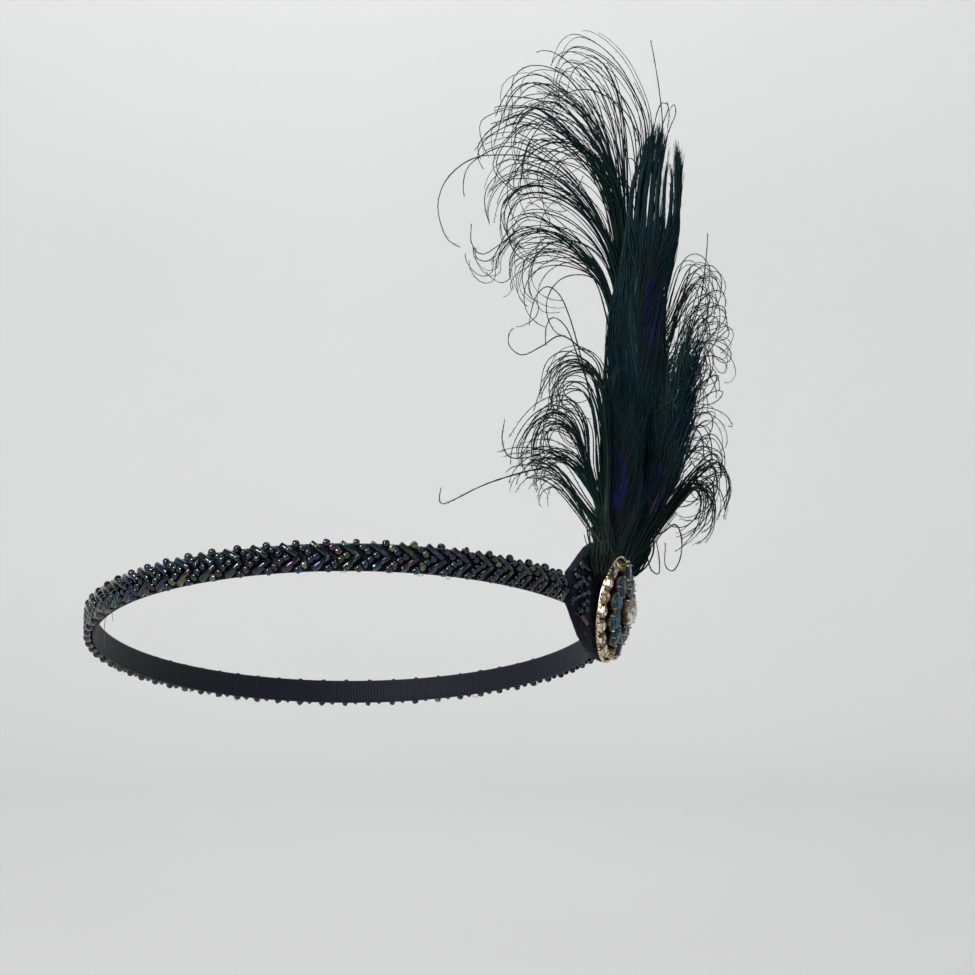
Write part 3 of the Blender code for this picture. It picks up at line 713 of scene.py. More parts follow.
# Guides for the curled herl, in hundredths of the plume's height
UPPER_GUIDES = [
    # depth at the tip, then (across, rise) from root to tip
    (2, [
        (4.4, 26.7), (5.2, 50.3), (7.8, 71.9), (8.2, 85.1), (3.9, 93.7), (-1.2, 98.3),
        (-6.4, 100.0), (-9.4, 98.3), (-11.1, 94.5), (-11.6, 91.8),
    ]),
    (-2, [
        (3.5, 26.7), (3.7, 50.3), (3.3, 71.1), (2.2, 87.8), (-0.4, 95.1), (-3.4, 97.5),
        (-6.4, 95.9), (-8.5, 91.4), (-9.4, 87.8),
    ]),
    (-6, [
        (3.1, 26.7), (3.7, 50.3), (2.6, 70.0), (-2.1, 87.8), (-7.3, 94.1), (-13.5, 97.1),
        (-17.4, 96.7), (-18.9, 94.5), (-18.7, 90.6), (-19.1, 87.6),
    ]),
    (4, [
        (2.6, 26.7), (3.1, 50.3), (0.5, 78.4), (-4.7, 86.7), (-10.7, 90.6), (-15.7, 93.4),
        (-20.4, 91.8), (-23.4, 87.1), (-25.1, 81.6), (-26.4, 77.0),
    ]),
    (0, [
        (2.2, 26.7), (3.1, 52.3), (2.2, 68.4), (-0.4, 78.2), (-4.7, 84.7), (-9.0, 88.2),
        (-13.1, 90.2), (-17.4, 89.0), (-20.4, 84.7), (-21.7, 80.0), (-22.5, 76.2),
    ]),
    (6, [
        (1.8, 26.7), (3.1, 52.3), (2.6, 68.4), (-0.4, 75.5), (-5.5, 81.6), (-9.8, 85.1),
        (-13.1, 86.1), (-16.5, 84.3), (-19.5, 81.2), (-22.5, 76.2), (-24.3, 72.9),
    ]),
    (-3, [
        (1.8, 26.7), (2.6, 52.3), (0.1, 71.9), (-6.4, 81.8), (-13.9, 88.0), (-20.4, 88.4),
        (-24.7, 87.8), (-27.5, 86.3), (-27.5, 82.3), (-26.0, 78.4),
    ]),
    (0, [
        (0.9, 22.8), (2.6, 44.4), (1.8, 57.6), (-2.1, 65.6), (-6.4, 71.5), (-11.3, 75.5),
        (-16.5, 78.0), (-20.8, 79.0), (-24.7, 77.8), (-29.0, 74.7), (-30.1, 70.3), (-29.0, 66.0),
        (-26.8, 62.5),
    ]),
    (5, [
        (0.5, 22.8), (2.2, 42.4), (0.9, 56.2), (-3.4, 64.8), (-9.4, 70.7), (-15.9, 73.5),
        (-21.0, 71.9), (-24.0, 68.4), (-24.9, 64.4), (-23.6, 60.9),
    ]),
    (1, [
        (0.1, 20.8), (1.4, 40.5), (-0.4, 52.8), (-4.7, 58.7), (-9.0, 62.1), (-13.1, 64.4),
        (-17.4, 66.0), (-20.0, 64.4), (-23.0, 61.7), (-25.6, 58.7), (-26.4, 56.0), (-24.7, 55.0),
    ]),
    (-4, [
        (0.1, 20.8), (1.4, 40.5), (-0.8, 52.8), (-5.5, 58.5), (-12.4, 62.9), (-19.3, 62.1),
        (-23.6, 57.8), (-24.0, 54.2), (-26.6, 53.4), (-29.2, 55.8), (-29.6, 59.1),
    ]),
]
UPPER_STRAYS = [
    (3, [
        (0.9, 22.8), (2.2, 44.4), (0.5, 59.1), (-5.3, 70.0), (-13.9, 76.6), (-24.7, 77.4),
        (-30.1, 76.2), (-34.4, 73.1), (-36.5, 69.6), (-37.0, 66.0), (-35.7, 61.3), (-33.1, 59.3),
    ]),
    (-5, [
        (0.1, 20.8), (1.1, 38.5), (-0.8, 51.1), (-4.7, 56.6), (-9.4, 60.5), (-13.9, 62.9),
        (-18.9, 63.7), (-23.6, 60.5), (-27.5, 58.5), (-29.6, 60.9), (-29.4, 64.4),
    ]),
    (2, [
        (-0.4, 20.8), (0.7, 38.5), (-1.7, 50.3), (-5.3, 56.2), (-9.6, 59.7), (-13.5, 60.5),
        (-15.7, 59.5), (-16.3, 55.6), (-16.7, 52.1),
    ]),
    (5, [
        (0.1, 20.8), (1.4, 40.5), (-0.4, 52.3), (-5.1, 59.7), (-10.7, 63.3), (-17.2, 65.6),
        (-21.9, 62.9), (-25.8, 57.8), (-28.8, 57.8), (-29.6, 60.1),
    ]),
]
LOWER_GUIDES = [
    (6, [
        (-0.8, 16.9), (-2.1, 32.6), (-4.2, 37.3), (-8.1, 39.1), (-12.2, 37.5), (-14.8, 32.8),
        (-16.1, 28.8), (-17.4, 25.9),
    ]),
    (3, [
        (-0.8, 16.9), (-1.7, 30.6), (-3.8, 35.3), (-8.1, 36.1), (-11.6, 33.8), (-13.3, 30.2),
        (-12.0, 26.7),
    ]),
    (6, [
        (-1.2, 2.1), (-2.5, 10.0), (-4.7, 17.2), (-5.5, 25.1), (-8.1, 29.6), (-11.3, 30.0),
        (-14.8, 28.1), (-17.4, 25.1), (-19.5, 21.6), (-20.8, 18.8),
    ]),
    (9, [
        (-1.7, 2.1), (-3.4, 11.0), (-6.0, 18.8), (-8.5, 24.3), (-12.0, 26.7), (-15.4, 25.9),
        (-18.0, 22.8), (-19.3, 18.4), (-17.6, 14.5),
    ]),
    (4, [
        (-1.7, 2.1), (-2.9, 11.0), (-6.4, 17.2), (-10.7, 20.0), (-14.8, 21.2), (-20.0, 20.8),
        (-23.6, 19.8),
    ]),
    (8, [
        (-1.2, 1.1), (-2.1, 5.6), (-7.3, 11.3), (-12.2, 16.5), (-16.0, 17.5), (-20.0, 17.1),
        (-22.4, 15.0),
    ]),
    (6, [
        (-2.1, 0.7), (-3.0, 2.5), (-5.1, 6.0), (-8.1, 10.8), (-11.3, 15.3), (-14.8, 18.2),
        (-18.9, 19.2),
    ]),
]
LOWER_STRAYS = [
    (5, [
        (-2.1, 3.1), (-2.5, 13.3), (-3.4, 24.3), (-5.1, 33.6), (-7.3, 41.4), (-9.4, 47.1),
        (-11.3, 50.3), (-13.9, 51.7), (-16.1, 49.9), (-17.2, 46.4), (-17.4, 44.0),
    ]),
    (4, [
        (-1.2, 16.9), (-2.5, 26.7), (-6.4, 36.7), (-9.0, 43.8), (-11.8, 46.2), (-13.5, 44.4),
        (-14.1, 41.0),
    ]),
    (6, [
        (-0.8, 18.8), (-2.5, 35.1), (-6.4, 39.5), (-10.7, 42.2), (-14.8, 40.3), (-19.1, 38.7),
        (-21.7, 40.6), (-21.5, 43.0), (-20.4, 43.8),
    ]),
    (7, [
        (-1.2, 1.1), (-2.1, 5.6), (-7.3, 11.3), (-12.2, 16.5), (-16.5, 16.5), (-26.0, 14.1),
        (-34.4, 11.0), (-35.9, 11.7), (-35.5, 13.9),
    ]),
    (3, [
        (-1.7, 2.1), (-4.2, 12.9), (-8.5, 18.4), (-13.3, 20.4), (-16.5, 19.2), (-21.7, 18.8),
        (-23.6, 21.8), (-23.4, 25.9),
    ]),
]
SIDE_GUIDES = [
    (-5, [
        (6.5, 34.6), (12.6, 46.4), (15.1, 53.2), (17.3, 57.8), (20.3, 58.9), (22.9, 56.6),
        (22.5, 52.3), (20.7, 49.1),
    ]),
    (-8, [
        (8.7, 26.7), (14.3, 40.5), (16.0, 48.3), (18.1, 53.2), (20.7, 54.2), (22.2, 51.1),
        (21.2, 46.4), (19.4, 42.4),
    ]),
    (-4, [
        (9.8, 20.8), (15.6, 32.6), (17.7, 41.4), (19.4, 47.3), (22.0, 48.3), (22.9, 44.4),
        (21.2, 40.1),
    ]),
    (-6, [
        (8.7, 14.9), (13.4, 24.7), (17.3, 34.6), (19.4, 40.5), (20.7, 36.1), (20.3, 30.6),
        (18.6, 26.7),
    ]),
    (-7, [
        (8.2, 11.0), (14.3, 18.0), (17.5, 22.8), (19.2, 25.5), (21.8, 26.3), (24.0, 23.9),
        (24.4, 20.4), (22.7, 17.2),
    ]),
    (-5, [
        (6.5, 3.1), (11.5, 6.4), (16.6, 12.5), (20.9, 17.2), (23.5, 18.4), (25.7, 14.9),
        (25.7, 10.2), (24.8, 4.9),
    ]),
    (-3, [
        (6.5, 2.1), (12.6, 7.0), (17.3, 12.5), (20.1, 13.7), (22.7, 11.0), (22.7, 5.6),
        (20.1, 2.1), (16.6, 0.1),
    ]),
]
SIDE_STRAYS = [
    (-7, [(8.7, 18.8), (13.4, 30.6), (17.3, 40.5), (21.2, 50.3), (23.3, 57.8), (24.8, 64.1)]),
    (-4, [
        (5.7, 0.7), (9.5, 3.1), (12.3, 4.1), (14.9, 5.6), (16.2, 2.9), (15.8, -1.4), (14.1, -3.8),
        (12.3, -2.2), (12.8, 2.1),
    ]),
    (-6, [
        (5.2, 0.7), (7.8, 1.5), (9.3, 0.7), (10.2, -3.2), (11.9, -4.2), (12.3, -0.8), (11.7, 2.5),
    ]),
]
TOP_STRAYS = [
    (-1, [(9.8, 70.0), (11.0, 79.8), (11.5, 84.7), (10.4, 91.6), (8.9, 97.5), (7.8, 101.0)]),
    (0, [
        (9.1, 70.0), (9.5, 81.8), (9.8, 85.7), (10.6, 88.8), (11.9, 89.6), (12.8, 87.6),
        (12.6, 84.1),
    ]),
    (0, [
        (8.2, 70.0), (8.3, 78.0), (8.1, 82.2), (7.3, 84.2), (6.5, 83.4), (6.8, 81.6), (7.5, 81.4),
    ]),
    (1, [(9.6, 70.0), (9.9, 80.0), (10.6, 85.0), (11.2, 87.6), (10.5, 89.2), (9.8, 88.0)]),
    (2, [(11.5, 72.0), (12.2, 80.0), (12.9, 84.0), (13.8, 86.2), (14.6, 87.9), (14.2, 89.0)]),
    (1, [(7.6, 64.0), (7.0, 70.5), (5.8, 74.2), (4.4, 74.8), (3.6, 73.2)]),
    (-1, [(8.0, 66.0), (7.6, 73.5), (6.6, 77.2), (5.2, 78.2), (4.5, 76.9)]),
]


def roll_up(line, turns):
    """The line with each of its steps turned in the plane of across and rise."""
    steps = np.diff(line, axis=0)
    across = steps[:, 0] * np.cos(turns) - steps[:, 1] * np.sin(turns)
    rise = steps[:, 0] * np.sin(turns) + steps[:, 1] * np.cos(turns)
    rolled = np.column_stack([across, rise, steps[:, 2]])
    return np.vstack([line[:1], line[0] + np.cumsum(rolled, axis=0)])


def curl_lines(guides, strays, slot, root_depth, count, seed, spread, hand, pass_point=None):
    """Lines of herl that bunch round their guides, roll up at their tips and meet at their stem."""
    random = np.random.default_rng(seed)
    stem = stem_shares(slot)
    if pass_point:
        across, rise, deep = pass_point
        stem[1] = [across - SIDE_STEP * deep, rise, deep]
    shaped = []
    for depth, guide in guides + strays:
        flat = np.array(guide) / 100
        deep = np.interp(flat[:, 1], [stem[1][1], 0.12], [stem[1][2], root_depth])
        deep = deep + (depth / 100 - root_depth) * np.linspace(0, 1, len(flat)) ** 1.3
        flat[:, 0] -= SIDE_STEP * deep
        shaped.append(smooth_lines(np.vstack([stem, np.column_stack([flat, deep])]), FINE_POINTS))
    known = np.linspace(0, 1, FINE_POINTS)
    along = 1 - (1 - np.linspace(0, 1, CURL_POINTS)) ** 1.35
    late = np.clip((along[1:] - 0.55) / 0.45, 0, 1) ** 1.7
    column = along[:, None]
    lines, radii, tints = [], [], []
    for number in range(count + len(strays)):
        if number < count:
            place = random.integers(0, len(guides)) + random.normal(0, 0.16)
            if random.uniform() < 0.22:
                place = random.uniform(0, len(guides) - 1)
            place = min(max(place, 0), len(guides) - 1.001)
            low = int(place)
            base = shaped[low] * (1 - (place - low)) + shaped[low + 1] * (place - low)
            loose, start, end = 1.0, random.uniform(0, 0.15), random.uniform(0.80, 1.0)
            gentle = random.uniform() < 0.8
            roll = max(random.normal(0.2, 0.5), -0.1) if gentle else random.uniform(0.8, 3.4)
            thick = random.uniform(0.8, 1.5)
        else:
            base = shaped[number - count + len(guides)]
            loose, start, end, roll, thick = 0.2, 0.0, 1.0, random.normal(0, 0.15), 1.45
        steps = start + (end - start) * along
        line = np.column_stack([np.interp(steps, known, base[:, k]) for k in range(3)])
        away = random.normal(0, spread, 3) * (1, 1, 1.8) * loose
        line = line + away * column**1.4
        phase, swing = random.uniform(0, 6.28, 3), random.normal(0, 0.0035, 3) * loose
        line = line + swing * np.sin(column * random.uniform(4, 7) + phase) * column**1.5
        drift = hand * max(random.normal(0.002, 0.026), -0.004) * loose
        line = roll_up(line, drift * along[1:] + hand * roll * late)
        cluster = random.normal(0, 1, 3) * (0.010, 0, 0.007)
        line = line + cluster * np.exp(-(((line[:, 1:2] - stem[1][1]) / 0.07) ** 2))
        lines.append(line)
        taper = 1.15 - 0.65 * along**2
        radii.append(plume().strand_radius * thick * taper * random.uniform(0.82, 1.18, CURL_POINTS))
        tints.append(random.uniform(0, 1))
    return np.array(lines), np.array(radii), np.array(tints)


def down_lines(count, seed):
    """Short dark down that fills the plume's base from the brooch up."""
    random = np.random.default_rng(seed)
    left = ([-0.03, 0.0, 0.05, 0.08, 0.11, 0.15], [-0.028, -0.034, -0.042, -0.038, -0.032, -0.026])
    right = ([-0.03, 0.0, 0.04, 0.07, 0.10, 0.15], [0.046, 0.078, 0.108, 0.130, 0.150, 0.168])
    lines, radii = [], []
    for _ in range(count):
        share = random.uniform(0, 1)
        stem = stem_shares(-2.6 + 5.6 * share)
        top = random.uniform(0.025, 0.10)
        rise = np.linspace(-0.03, top, 5)
        edges = np.interp(rise, *left), np.interp(rise, *right)
        across = edges[0] + (edges[1] - edges[0]) * (share + random.normal(0, 0.04))
        depths = [stem[0][2], stem[1][2], 0.045 - 0.095 * share]
        deep = np.interp(rise, [stem[0][1], stem[1][1], 0.14], depths) + random.normal(0, 0.006)
        line = np.vstack([stem[:1], np.column_stack([across - SIDE_STEP * deep, rise, deep])])
        stray = random.normal(0, 0.004, 3) * np.linspace(0, 1, DOWN_POINTS)[:, None]
        lines.append(smooth_lines(line, DOWN_POINTS) + stray)
        taper = np.linspace(1.1, 0.5, DOWN_POINTS)
        radii.append(plume().strand_radius * random.uniform(0.8, 1.5) * taper)
    return np.array(lines), np.array(radii), random.uniform(0, 0.3, count)


def whisker_lines(lines, count, seed, reach, first=0.35):
    """Short hairs that stand off the strands, in the same shares as the strands."""
    random = np.random.default_rng(seed)
    strand = random.integers(0, len(lines), count)
    spot = random.integers(int(lines.shape[1] * first), lines.shape[1] - 1, count)
    foot = lines[strand, spot]
    ahead = lines[strand, spot + 1] - foot
    ahead /= np.linalg.norm(ahead, axis=1)[:, None] + 1e-9
    side = np.cross(ahead, random.normal(0, 1, (count, 3)))
    side /= np.linalg.norm(side, axis=1)[:, None] + 1e-9
    length = reach * random.uniform(0.4, 1.2, (count, 1))
    middle = foot + (0.7 * ahead + 0.5 * side) * length * 0.6
    made = np.stack([foot, middle, foot + (ahead + 0.6 * side) * length], 1)
    width = np.array([1.0, 0.7, 0.3]) * 0.00006
    return made, np.tile(width, (count, 1)), random.uniform(0, 1, count)


# Sections of each eye feather, in hundredths of the plume's height
TALL_FEATHER = [
    # rise, middle, half width
    (-2, 0.9, 1.2),
    (0, 1.7, 1.6),
    (2, 2.6, 2.2),
    (6, 3.6, 3.8),
    (15, 5.0, 5.8),
    (25, 5.8, 7.0),
    (34, 6.0, 7.6),
    (44, 6.0, 6.8),
    (52, 6.7, 6.2),
    (58, 7.7, 5.8),
    (64, 9.2, 5.2),
    (70, 10.7, 4.8),
    (77, 11.7, 4.2),
    (81, 11.9, 3.0),
    (84.5, 12.0, 1.6),
]
FRONT_FEATHER = [
    # rise, middle, half width
    (-2, -0.5, 1.3),
    (0, 0.2, 1.8),
    (2, 0.9, 2.4),
    (5, 1.4, 3.5),
    (11, 2.0, 4.4),
    (20, 2.4, 4.9),
    (27, 2.5, 4.6),
    (32, 2.3, 3.4),
    (36, 2.0, 1.2),
]
RIGHT_FEATHER = [
    # rise, middle, half width
    (-2, 3.6, 1.4),
    (0, 5.1, 1.8),
    (2.5, 6.6, 2.4),
    (7, 8.9, 3.0),
    (15, 11.6, 4.0),
    (23, 13.1, 4.2),
    (31, 15.2, 4.0),
    (39, 17.4, 3.0),
    (44.5, 18.8, 1.6),
]
TALL_TUFTS = [
    # across at a rise of 60, across at 72, across at the tip, rise of the tip, share of the barbs
    (3.7, 5.0, 7.2, 79.8, 1.0),
    (5.2, 6.5, 8.5, 82.5, 2.0),
    (6.7, 8.0, 10.0, 84.3, 3.0),
    (8.5, 9.4, 11.3, 84.5, 3.0),
    (10.2, 10.6, 12.3, 82.9, 2.0),
    (11.5, 12.1, 13.0, 79.8, 0.5),
    (12.8, 13.8, 13.8, 77.8, 0.6),
    (13.8, 14.9, 14.9, 81.2, 2.2),
    (14.5, 15.7, 15.7, 79.4, 1.0),
]


def barb_lines(sections, slot, depth, count, seed, reach, tufts=(), loose=0.0, ragged=0.06):
    """Barbs that leave the quill on both sides and run up inside the feather's outline."""
    random = np.random.default_rng(seed)
    stem = stem_shares(slot)
    rises, middles, halves = (np.array(column) / 100 for column in zip(*sections))
    feet = [foot for foot in stem if foot[1] < rises[0]]
    rises = np.concatenate([[foot[1] for foot in feet], rises])
    middles = np.concatenate([[foot[0] + SIDE_STEP * foot[2] for foot in feet], middles])
    halves = np.concatenate([[0.006, 0.014][: len(feet)], halves])
    t = np.linspace(0, 1, BARB_POINTS)
    lines, radii, tints = [], [], []
    low, high = rises[0], rises[-1]
    limits = np.cumsum([tuft[4] for tuft in tufts]) / sum(tuft[4] for tuft in tufts) if tufts else None
    for _ in range(count):
        start = low + (high - low) * 0.86 * random.uniform(0, 1) ** 1.2
        length = (high - low) * reach * random.uniform(0.75, 1.25)
        edge = random.uniform(0.0, 1.0) ** 0.75 * random.choice((-1, 1))
        top = high
        if tufts:
            chosen = int(np.searchsorted(limits, (edge + 1) / 2 * 0.999))
            tuft = [value / 100 for value in tufts[chosen]]
            top = tuft[3]
        end = min(start + length, top * (1 - ragged * random.uniform(-0.1, 1)))
        rise = start + (end - start) * t
        share = edge * (1 - (1 - t) ** 2.2)
        across = np.interp(rise, rises, middles) + share * np.interp(rise, rises, halves)
        if tufts:
            room = np.interp(rise, [0.58, 0.68, 0.75, top], [0.014, 0.0026, 0.0030, 0.0085])
            within = random.uniform(-1, 1) * room
            path = np.interp(rise, [0.60, 0.72, top], tuft[:3]) + within
            across = across + (path - across) * np.clip((rise - 0.50) / 0.15, 0, 1)
        layer = random.uniform(-1, 1)
        deep = np.interp(rise, [low, stem[1][1], 0.15], [stem[0][2], stem[1][2], depth])
        deep = deep + layer * 0.0045 - 0.007 * share**2 + 0.003 * (1 - t)
        swing = random.normal(0, 0.0012 + loose)
        wave = swing * np.sin(t * random.uniform(3, 7) + random.uniform(0, 6)) * t
        stray = random.normal(0, 3 * loose) * t**3
        across = across - SIDE_STEP * deep + wave + stray
        lines.append(np.column_stack([across, rise, deep + 0.8 * stray + wave]))
        thick = plume().strand_radius * random.uniform(0.65, 1.05)
        radii.append(thick * (1.1 - 0.7 * t**3) * random.uniform(0.85, 1.15, BARB_POINTS))
        tints.append(random.uniform(0, 1))
    return np.array(lines), np.array(radii), np.array(tints)


def quill_line(sections, slot, depth):
    """The feather's quill, from its stem to near its tip."""
    stem = stem_shares(slot)
    points = []
    for rise, middle, _ in sections[1::3]:
        deep = np.interp(rise / 100, [stem[1][1], 0.15], [stem[1][2], depth]) - 0.004
        points.append([middle / 100 - SIDE_STEP * deep, rise / 100, deep])
    line = smooth_lines(np.vstack([stem[:1], points]), QUILL_POINTS)
    return line[None], (np.linspace(1.0, 0.25, QUILL_POINTS) * 0.0007)[None], np.array([0.5])


def add_threads(name, points, radii, tints, finish, sides=3):
    """Tubes along lines of points in the scene, as one piece that rides on the headband."""
    return riding_piece(name, strand_mesh(name, points, radii, tints, sides), finish)


def add_strands(name, lines, radii, tints, finish, slot, sides=3):
    return add_threads(name, plume_points(lines), radii, tints, finish, sides)


# Finishes


def herl_finish():
    finish = Finish("curled_herl", Specular_IOR_Level=0.3, Specular_Tint=(0.42, 0.86, 0.76, 1))
    tint, along = finish.attribute("tint"), finish.attribute("along")
    root = tint.ramp(
        [
            (0.0, (0.001, 0.006, 0.009)),
            (0.35, (0.001, 0.013, 0.016)),
            (0.6, (0.002, 0.009, 0.007)),
            (0.85, (0.003, 0.006, 0.005)),
            (1.0, (0.005, 0.012, 0.007)),
        ]
    )
    tip = tint.ramp(
        [
            (0.0, (0.004, 0.006, 0.007)),
            (0.5, (0.008, 0.008, 0.008)),
            (0.8, (0.014, 0.012, 0.009)),
            (1.0, (0.030, 0.026, 0.014)),
        ]
    )
    grain = finish.noise(2600, 2)
    colour = along.between(0.25, 0.75).mix(root, tip)
    dust = grain.between(0.45, 0.75) * 0.3 * along.between(0.1, 0.5)
    colour = dust.mix(colour, (0.03, 0.034, 0.028))
    finish.link(Base_Color=colour, Roughness=0.36 + 0.25 * grain)
    return finish.material


def eye_feather_finish(name, eye, eye_half, painted_glint_share):
    """Barbs with the dark eye, its bronze ring and the green and teal round it."""
    finish = Finish(name, Roughness=0.45, Specular_IOR_Level=0.2, Specular_Tint=(0.45, 0.82, 0.86, 1))
    tint = finish.attribute("tint")
    axes = plume_axes()
    centre = axes["root"] + axes["across"] * eye[0] * plume().height + Z_AXIS * eye[1] * plume().height
    turned = finish.place.node(
        "ShaderNodeMapping",
        {"vector_type": "TEXTURE"},
        Vector=finish.place,
        Location=tuple(centre),
        Rotation=(0, 0, plume().yaw),
        Scale=(eye_half[0] * plume().height, 1.0, eye_half[1] * plume().height),
    )
    across, _, rise = turned.axes()
    wobble = finish.noise(900, 2) * 0.35 - 0.17
    far = (across * across + rise * rise) ** 0.5 + wobble
    streak = tint.ramp(
        [
            (0.0, (0.001, 0.003, 0.006)),
            (0.22, (0.001, 0.009, 0.016)),
            (0.42, (0.001, 0.004, 0.006)),
            (0.60, (0.001, 0.018, 0.024)),
            (0.76, (0.002, 0.007, 0.018)),
            (0.86, (0.006, 0.015, 0.004)),
            (0.93, (0.001, 0.007, 0.010)),
            (1.0, (0.040, 0.060, 0.040)),
        ]
    )
    blue = tint.ramp(
        [(0.0, (0.001, 0.001, 0.009)), (0.5, (0.003, 0.003, 0.030)), (1.0, (0.010, 0.007, 0.066))]
    )
    ring = tint.ramp(
        [(0.0, (0.001, 0.003, 0.005)), (0.6, (0.003, 0.004, 0.005)), (1.0, (0.008, 0.007, 0.005))]
    )
    core = tint.ramp([(0.0, (0.001, 0.002, 0.006)), (1.0, (0.002, 0.004, 0.016))])
    colour = far.between(1.5, 2.1).mix(ring, streak)
    colour = far.between(0.9, 1.15).mix(blue, colour)
    inside = ((across * across + (rise - 0.25) * (rise - 0.25)) ** 0.5).between(0.45, 0.75)
    colour = inside.mix(core, colour)
    grain = finish.noise(3000, 2)
    # painted highlight: fine noise streaks pale teal over the barbs, in the share given
    colour = (grain.between(0.5, 0.8) * painted_glint_share).mix(colour, (0.012, 0.040, 0.042))
    finish.link(Base_Color=colour, Roughness=0.32 + 0.3 * grain)
    return finish.material


def quill_finish():
    finish = Finish("quill_horn", Roughness=0.35, Specular_IOR_Level=0.3)
    along = finish.attribute("along")
    streak = finish.noise(1200, 3)
    horn = along.between(0.1, 0.7).mix((0.05, 0.042, 0.030), (0.012, 0.014, 0.012))
    finish.link(Base_Color=(streak.between(0.4, 0.7) * 0.5).mix(horn, (0.008, 0.009, 0.008)))
    finish.bump(streak, 0.3, 0.00005)
    return finish.material


def bead_finish(name, dark):
    """Glass with a metallic iris coat: each bead its own tint, drifting over its surface."""
    coat = {"Coat_Weight": 0.7, "Coat_Roughness": 0.02}
    finish = Finish(name, Metallic=0.85, Roughness=0.16, Specular_IOR_Level=0.4, **coat)
    tint = finish.attribute("tint")
    drift = finish.noise(420, 2) * 0.34 - 0.17
    colour = (tint + drift).clamp().ramp(
        [
            (0.0, (0.003, 0.005, 0.018)),
            (0.16, (0.003, 0.012, 0.050)),
            (0.30, (0.002, 0.026, 0.048)),
            (0.44, (0.002, 0.028, 0.028)),
            (0.56, (0.004, 0.007, 0.010)),
            (0.66, (0.005, 0.024, 0.012)),
            (0.76, (0.006, 0.008, 0.026)),
            (0.85, (0.040, 0.011, 0.045)),
            (0.93, (0.060, 0.052, 0.014)),
            (1.0, (0.16, 0.19, 0.13)),
        ]
    )
    depth = finish.noise(1500, 3)
    colour = (depth.between(0.35, 0.7) * dark).mix(colour, (0.002, 0.003, 0.005))
    finish.link(Base_Color=colour, Roughness=0.08 + 0.14 * depth)
    return finish.material


def gold_finish():
    """Bright plating on the claws, cups and rim, with painted glints, painted shade over the plate inside
    the rim, and deeper painted shade in the hollows between the stones.
    """
    finish = Finish("plated_gold", Metallic=1.0, Roughness=0.2)
    colours = bpy.context.scene.brooch_colours
    brooch = plume_axes()["brooch"]
    away = finish.place.shift("SUBTRACT", tuple(brooch.translation))
    turned, dot = brooch.to_3x3(), {"operation": "DOT_PRODUCT"}
    flat_x, flat_y, out = (
        away.node("ShaderNodeVectorMath", dot, output=1, i0=away, i1=tuple(axis)) for axis in turned.col
    )
    far = (flat_x * flat_x + flat_y * flat_y) ** 0.5
    # inside: the plate within the rim, where shade between the stones is painted
    inside = 1 - far.between(0.0112, 0.0128)
    # painted shade: low parts inside the rim, under the stones' tops, are painted near black and made
    # rougher
    painted_hollow_shade = (1 - out.between(0.0026, 0.0050)) * inside
    patch = finish.noise(500, 4)
    fine = finish.noise(4000, 3)
    gold = tuple(colours.gold)
    colour = patch.between(0.35, 0.65).mix(shade(gold, 0.45), gold)
    # painted glints: fine noise mixes near-white specks into the plating
    colour = (fine.between(0.58, 0.8) * 0.5).mix(colour, (0.95, 0.90, 0.78))
    # painted shade: the plate inside the rim is half darkened, and its low hollows are painted near black
    colour = (inside * 0.5).mix(colour, shade(gold, 0.16))
    colour = painted_hollow_shade.mix(colour, (0.020, 0.016, 0.014))
    finish.link(Base_Color=colour, Roughness=0.20 + 0.2 * patch + 0.3 * painted_hollow_shade)
    finish.bump(fine * 0.4 + patch, 0.25, 0.00008)
    return finish.material


def stone_finish(name, deep, bright, painted_flash, clear=0.0):
    """Foiled cut glass with painted reflections and painted shade: each facet is painted with its own share
    of the foil's light, deep, bright or flash, and small cells add painted sparkle.
    """
    finish = Finish(name, Roughness=0.03, IOR=1.6, Specular_IOR_Level=0.3, Transmission_Weight=clear)
    normal = finish.tree.nodes.new("ShaderNodeNewGeometry")
    facing = Tone(finish.tree, normal.outputs["True Normal"])
    snapped = facing.shift("SCALE", (0, 0, 0))
    snapped.socket.node.inputs["Scale"].default_value = 9.0
    snapped = snapped.shift("ADD", (0.37, 0.11, 0.73)).shift("FLOOR", (0, 0, 0))
    pick = facing.node("ShaderNodeTexWhiteNoise", {"noise_dimensions": "3D"}, Vector=snapped)
    cells = finish.place.node("ShaderNodeTexVoronoi", None, Vector=finish.place, Scale=1100.0, output=1)
    painted_sparkle = cells.node("ShaderNodeSeparateColor", None, i0=cells)
    # painted reflections and painted shade: the facet's pick and the sparkle cells choose a dark, bright or
    # flash colour that stays fixed on the surface
    mixed = pick * 0.7 + painted_sparkle * 0.3
    stops = ((0.0, deep), (0.42, deep), (0.62, bright), (0.84, bright), (0.93, painted_flash), (1.0, painted_flash))
    colour = mixed.ramp(stops)
    finish.link(Base_Color=colour, Metallic=mixed.between(0.3, 0.9, 0.15, 0.75))
    return finish.material


def felt_finish():
    finish = Finish("navy_felt", Roughness=0.95, Specular_IOR_Level=0.08, Sheen_Weight=0.06)
    base = tuple(sizes().felt_colour)
    cloud, fibre = finish.noise(350, 4), finish.noise(5200, 5, rough=0.7)
    colour = cloud.between(0.3, 0.7).mix(shade(base, 0.6), shade(base, 1.5))
    colour = (fibre.between(0.55, 0.8) * 0.4).mix(colour, (0.012, 0.015, 0.026))
    finish.link(Base_Color=colour)
    finish.bump(fibre + 0.6 * cloud, 0.6, 0.00025)
    return finish.material


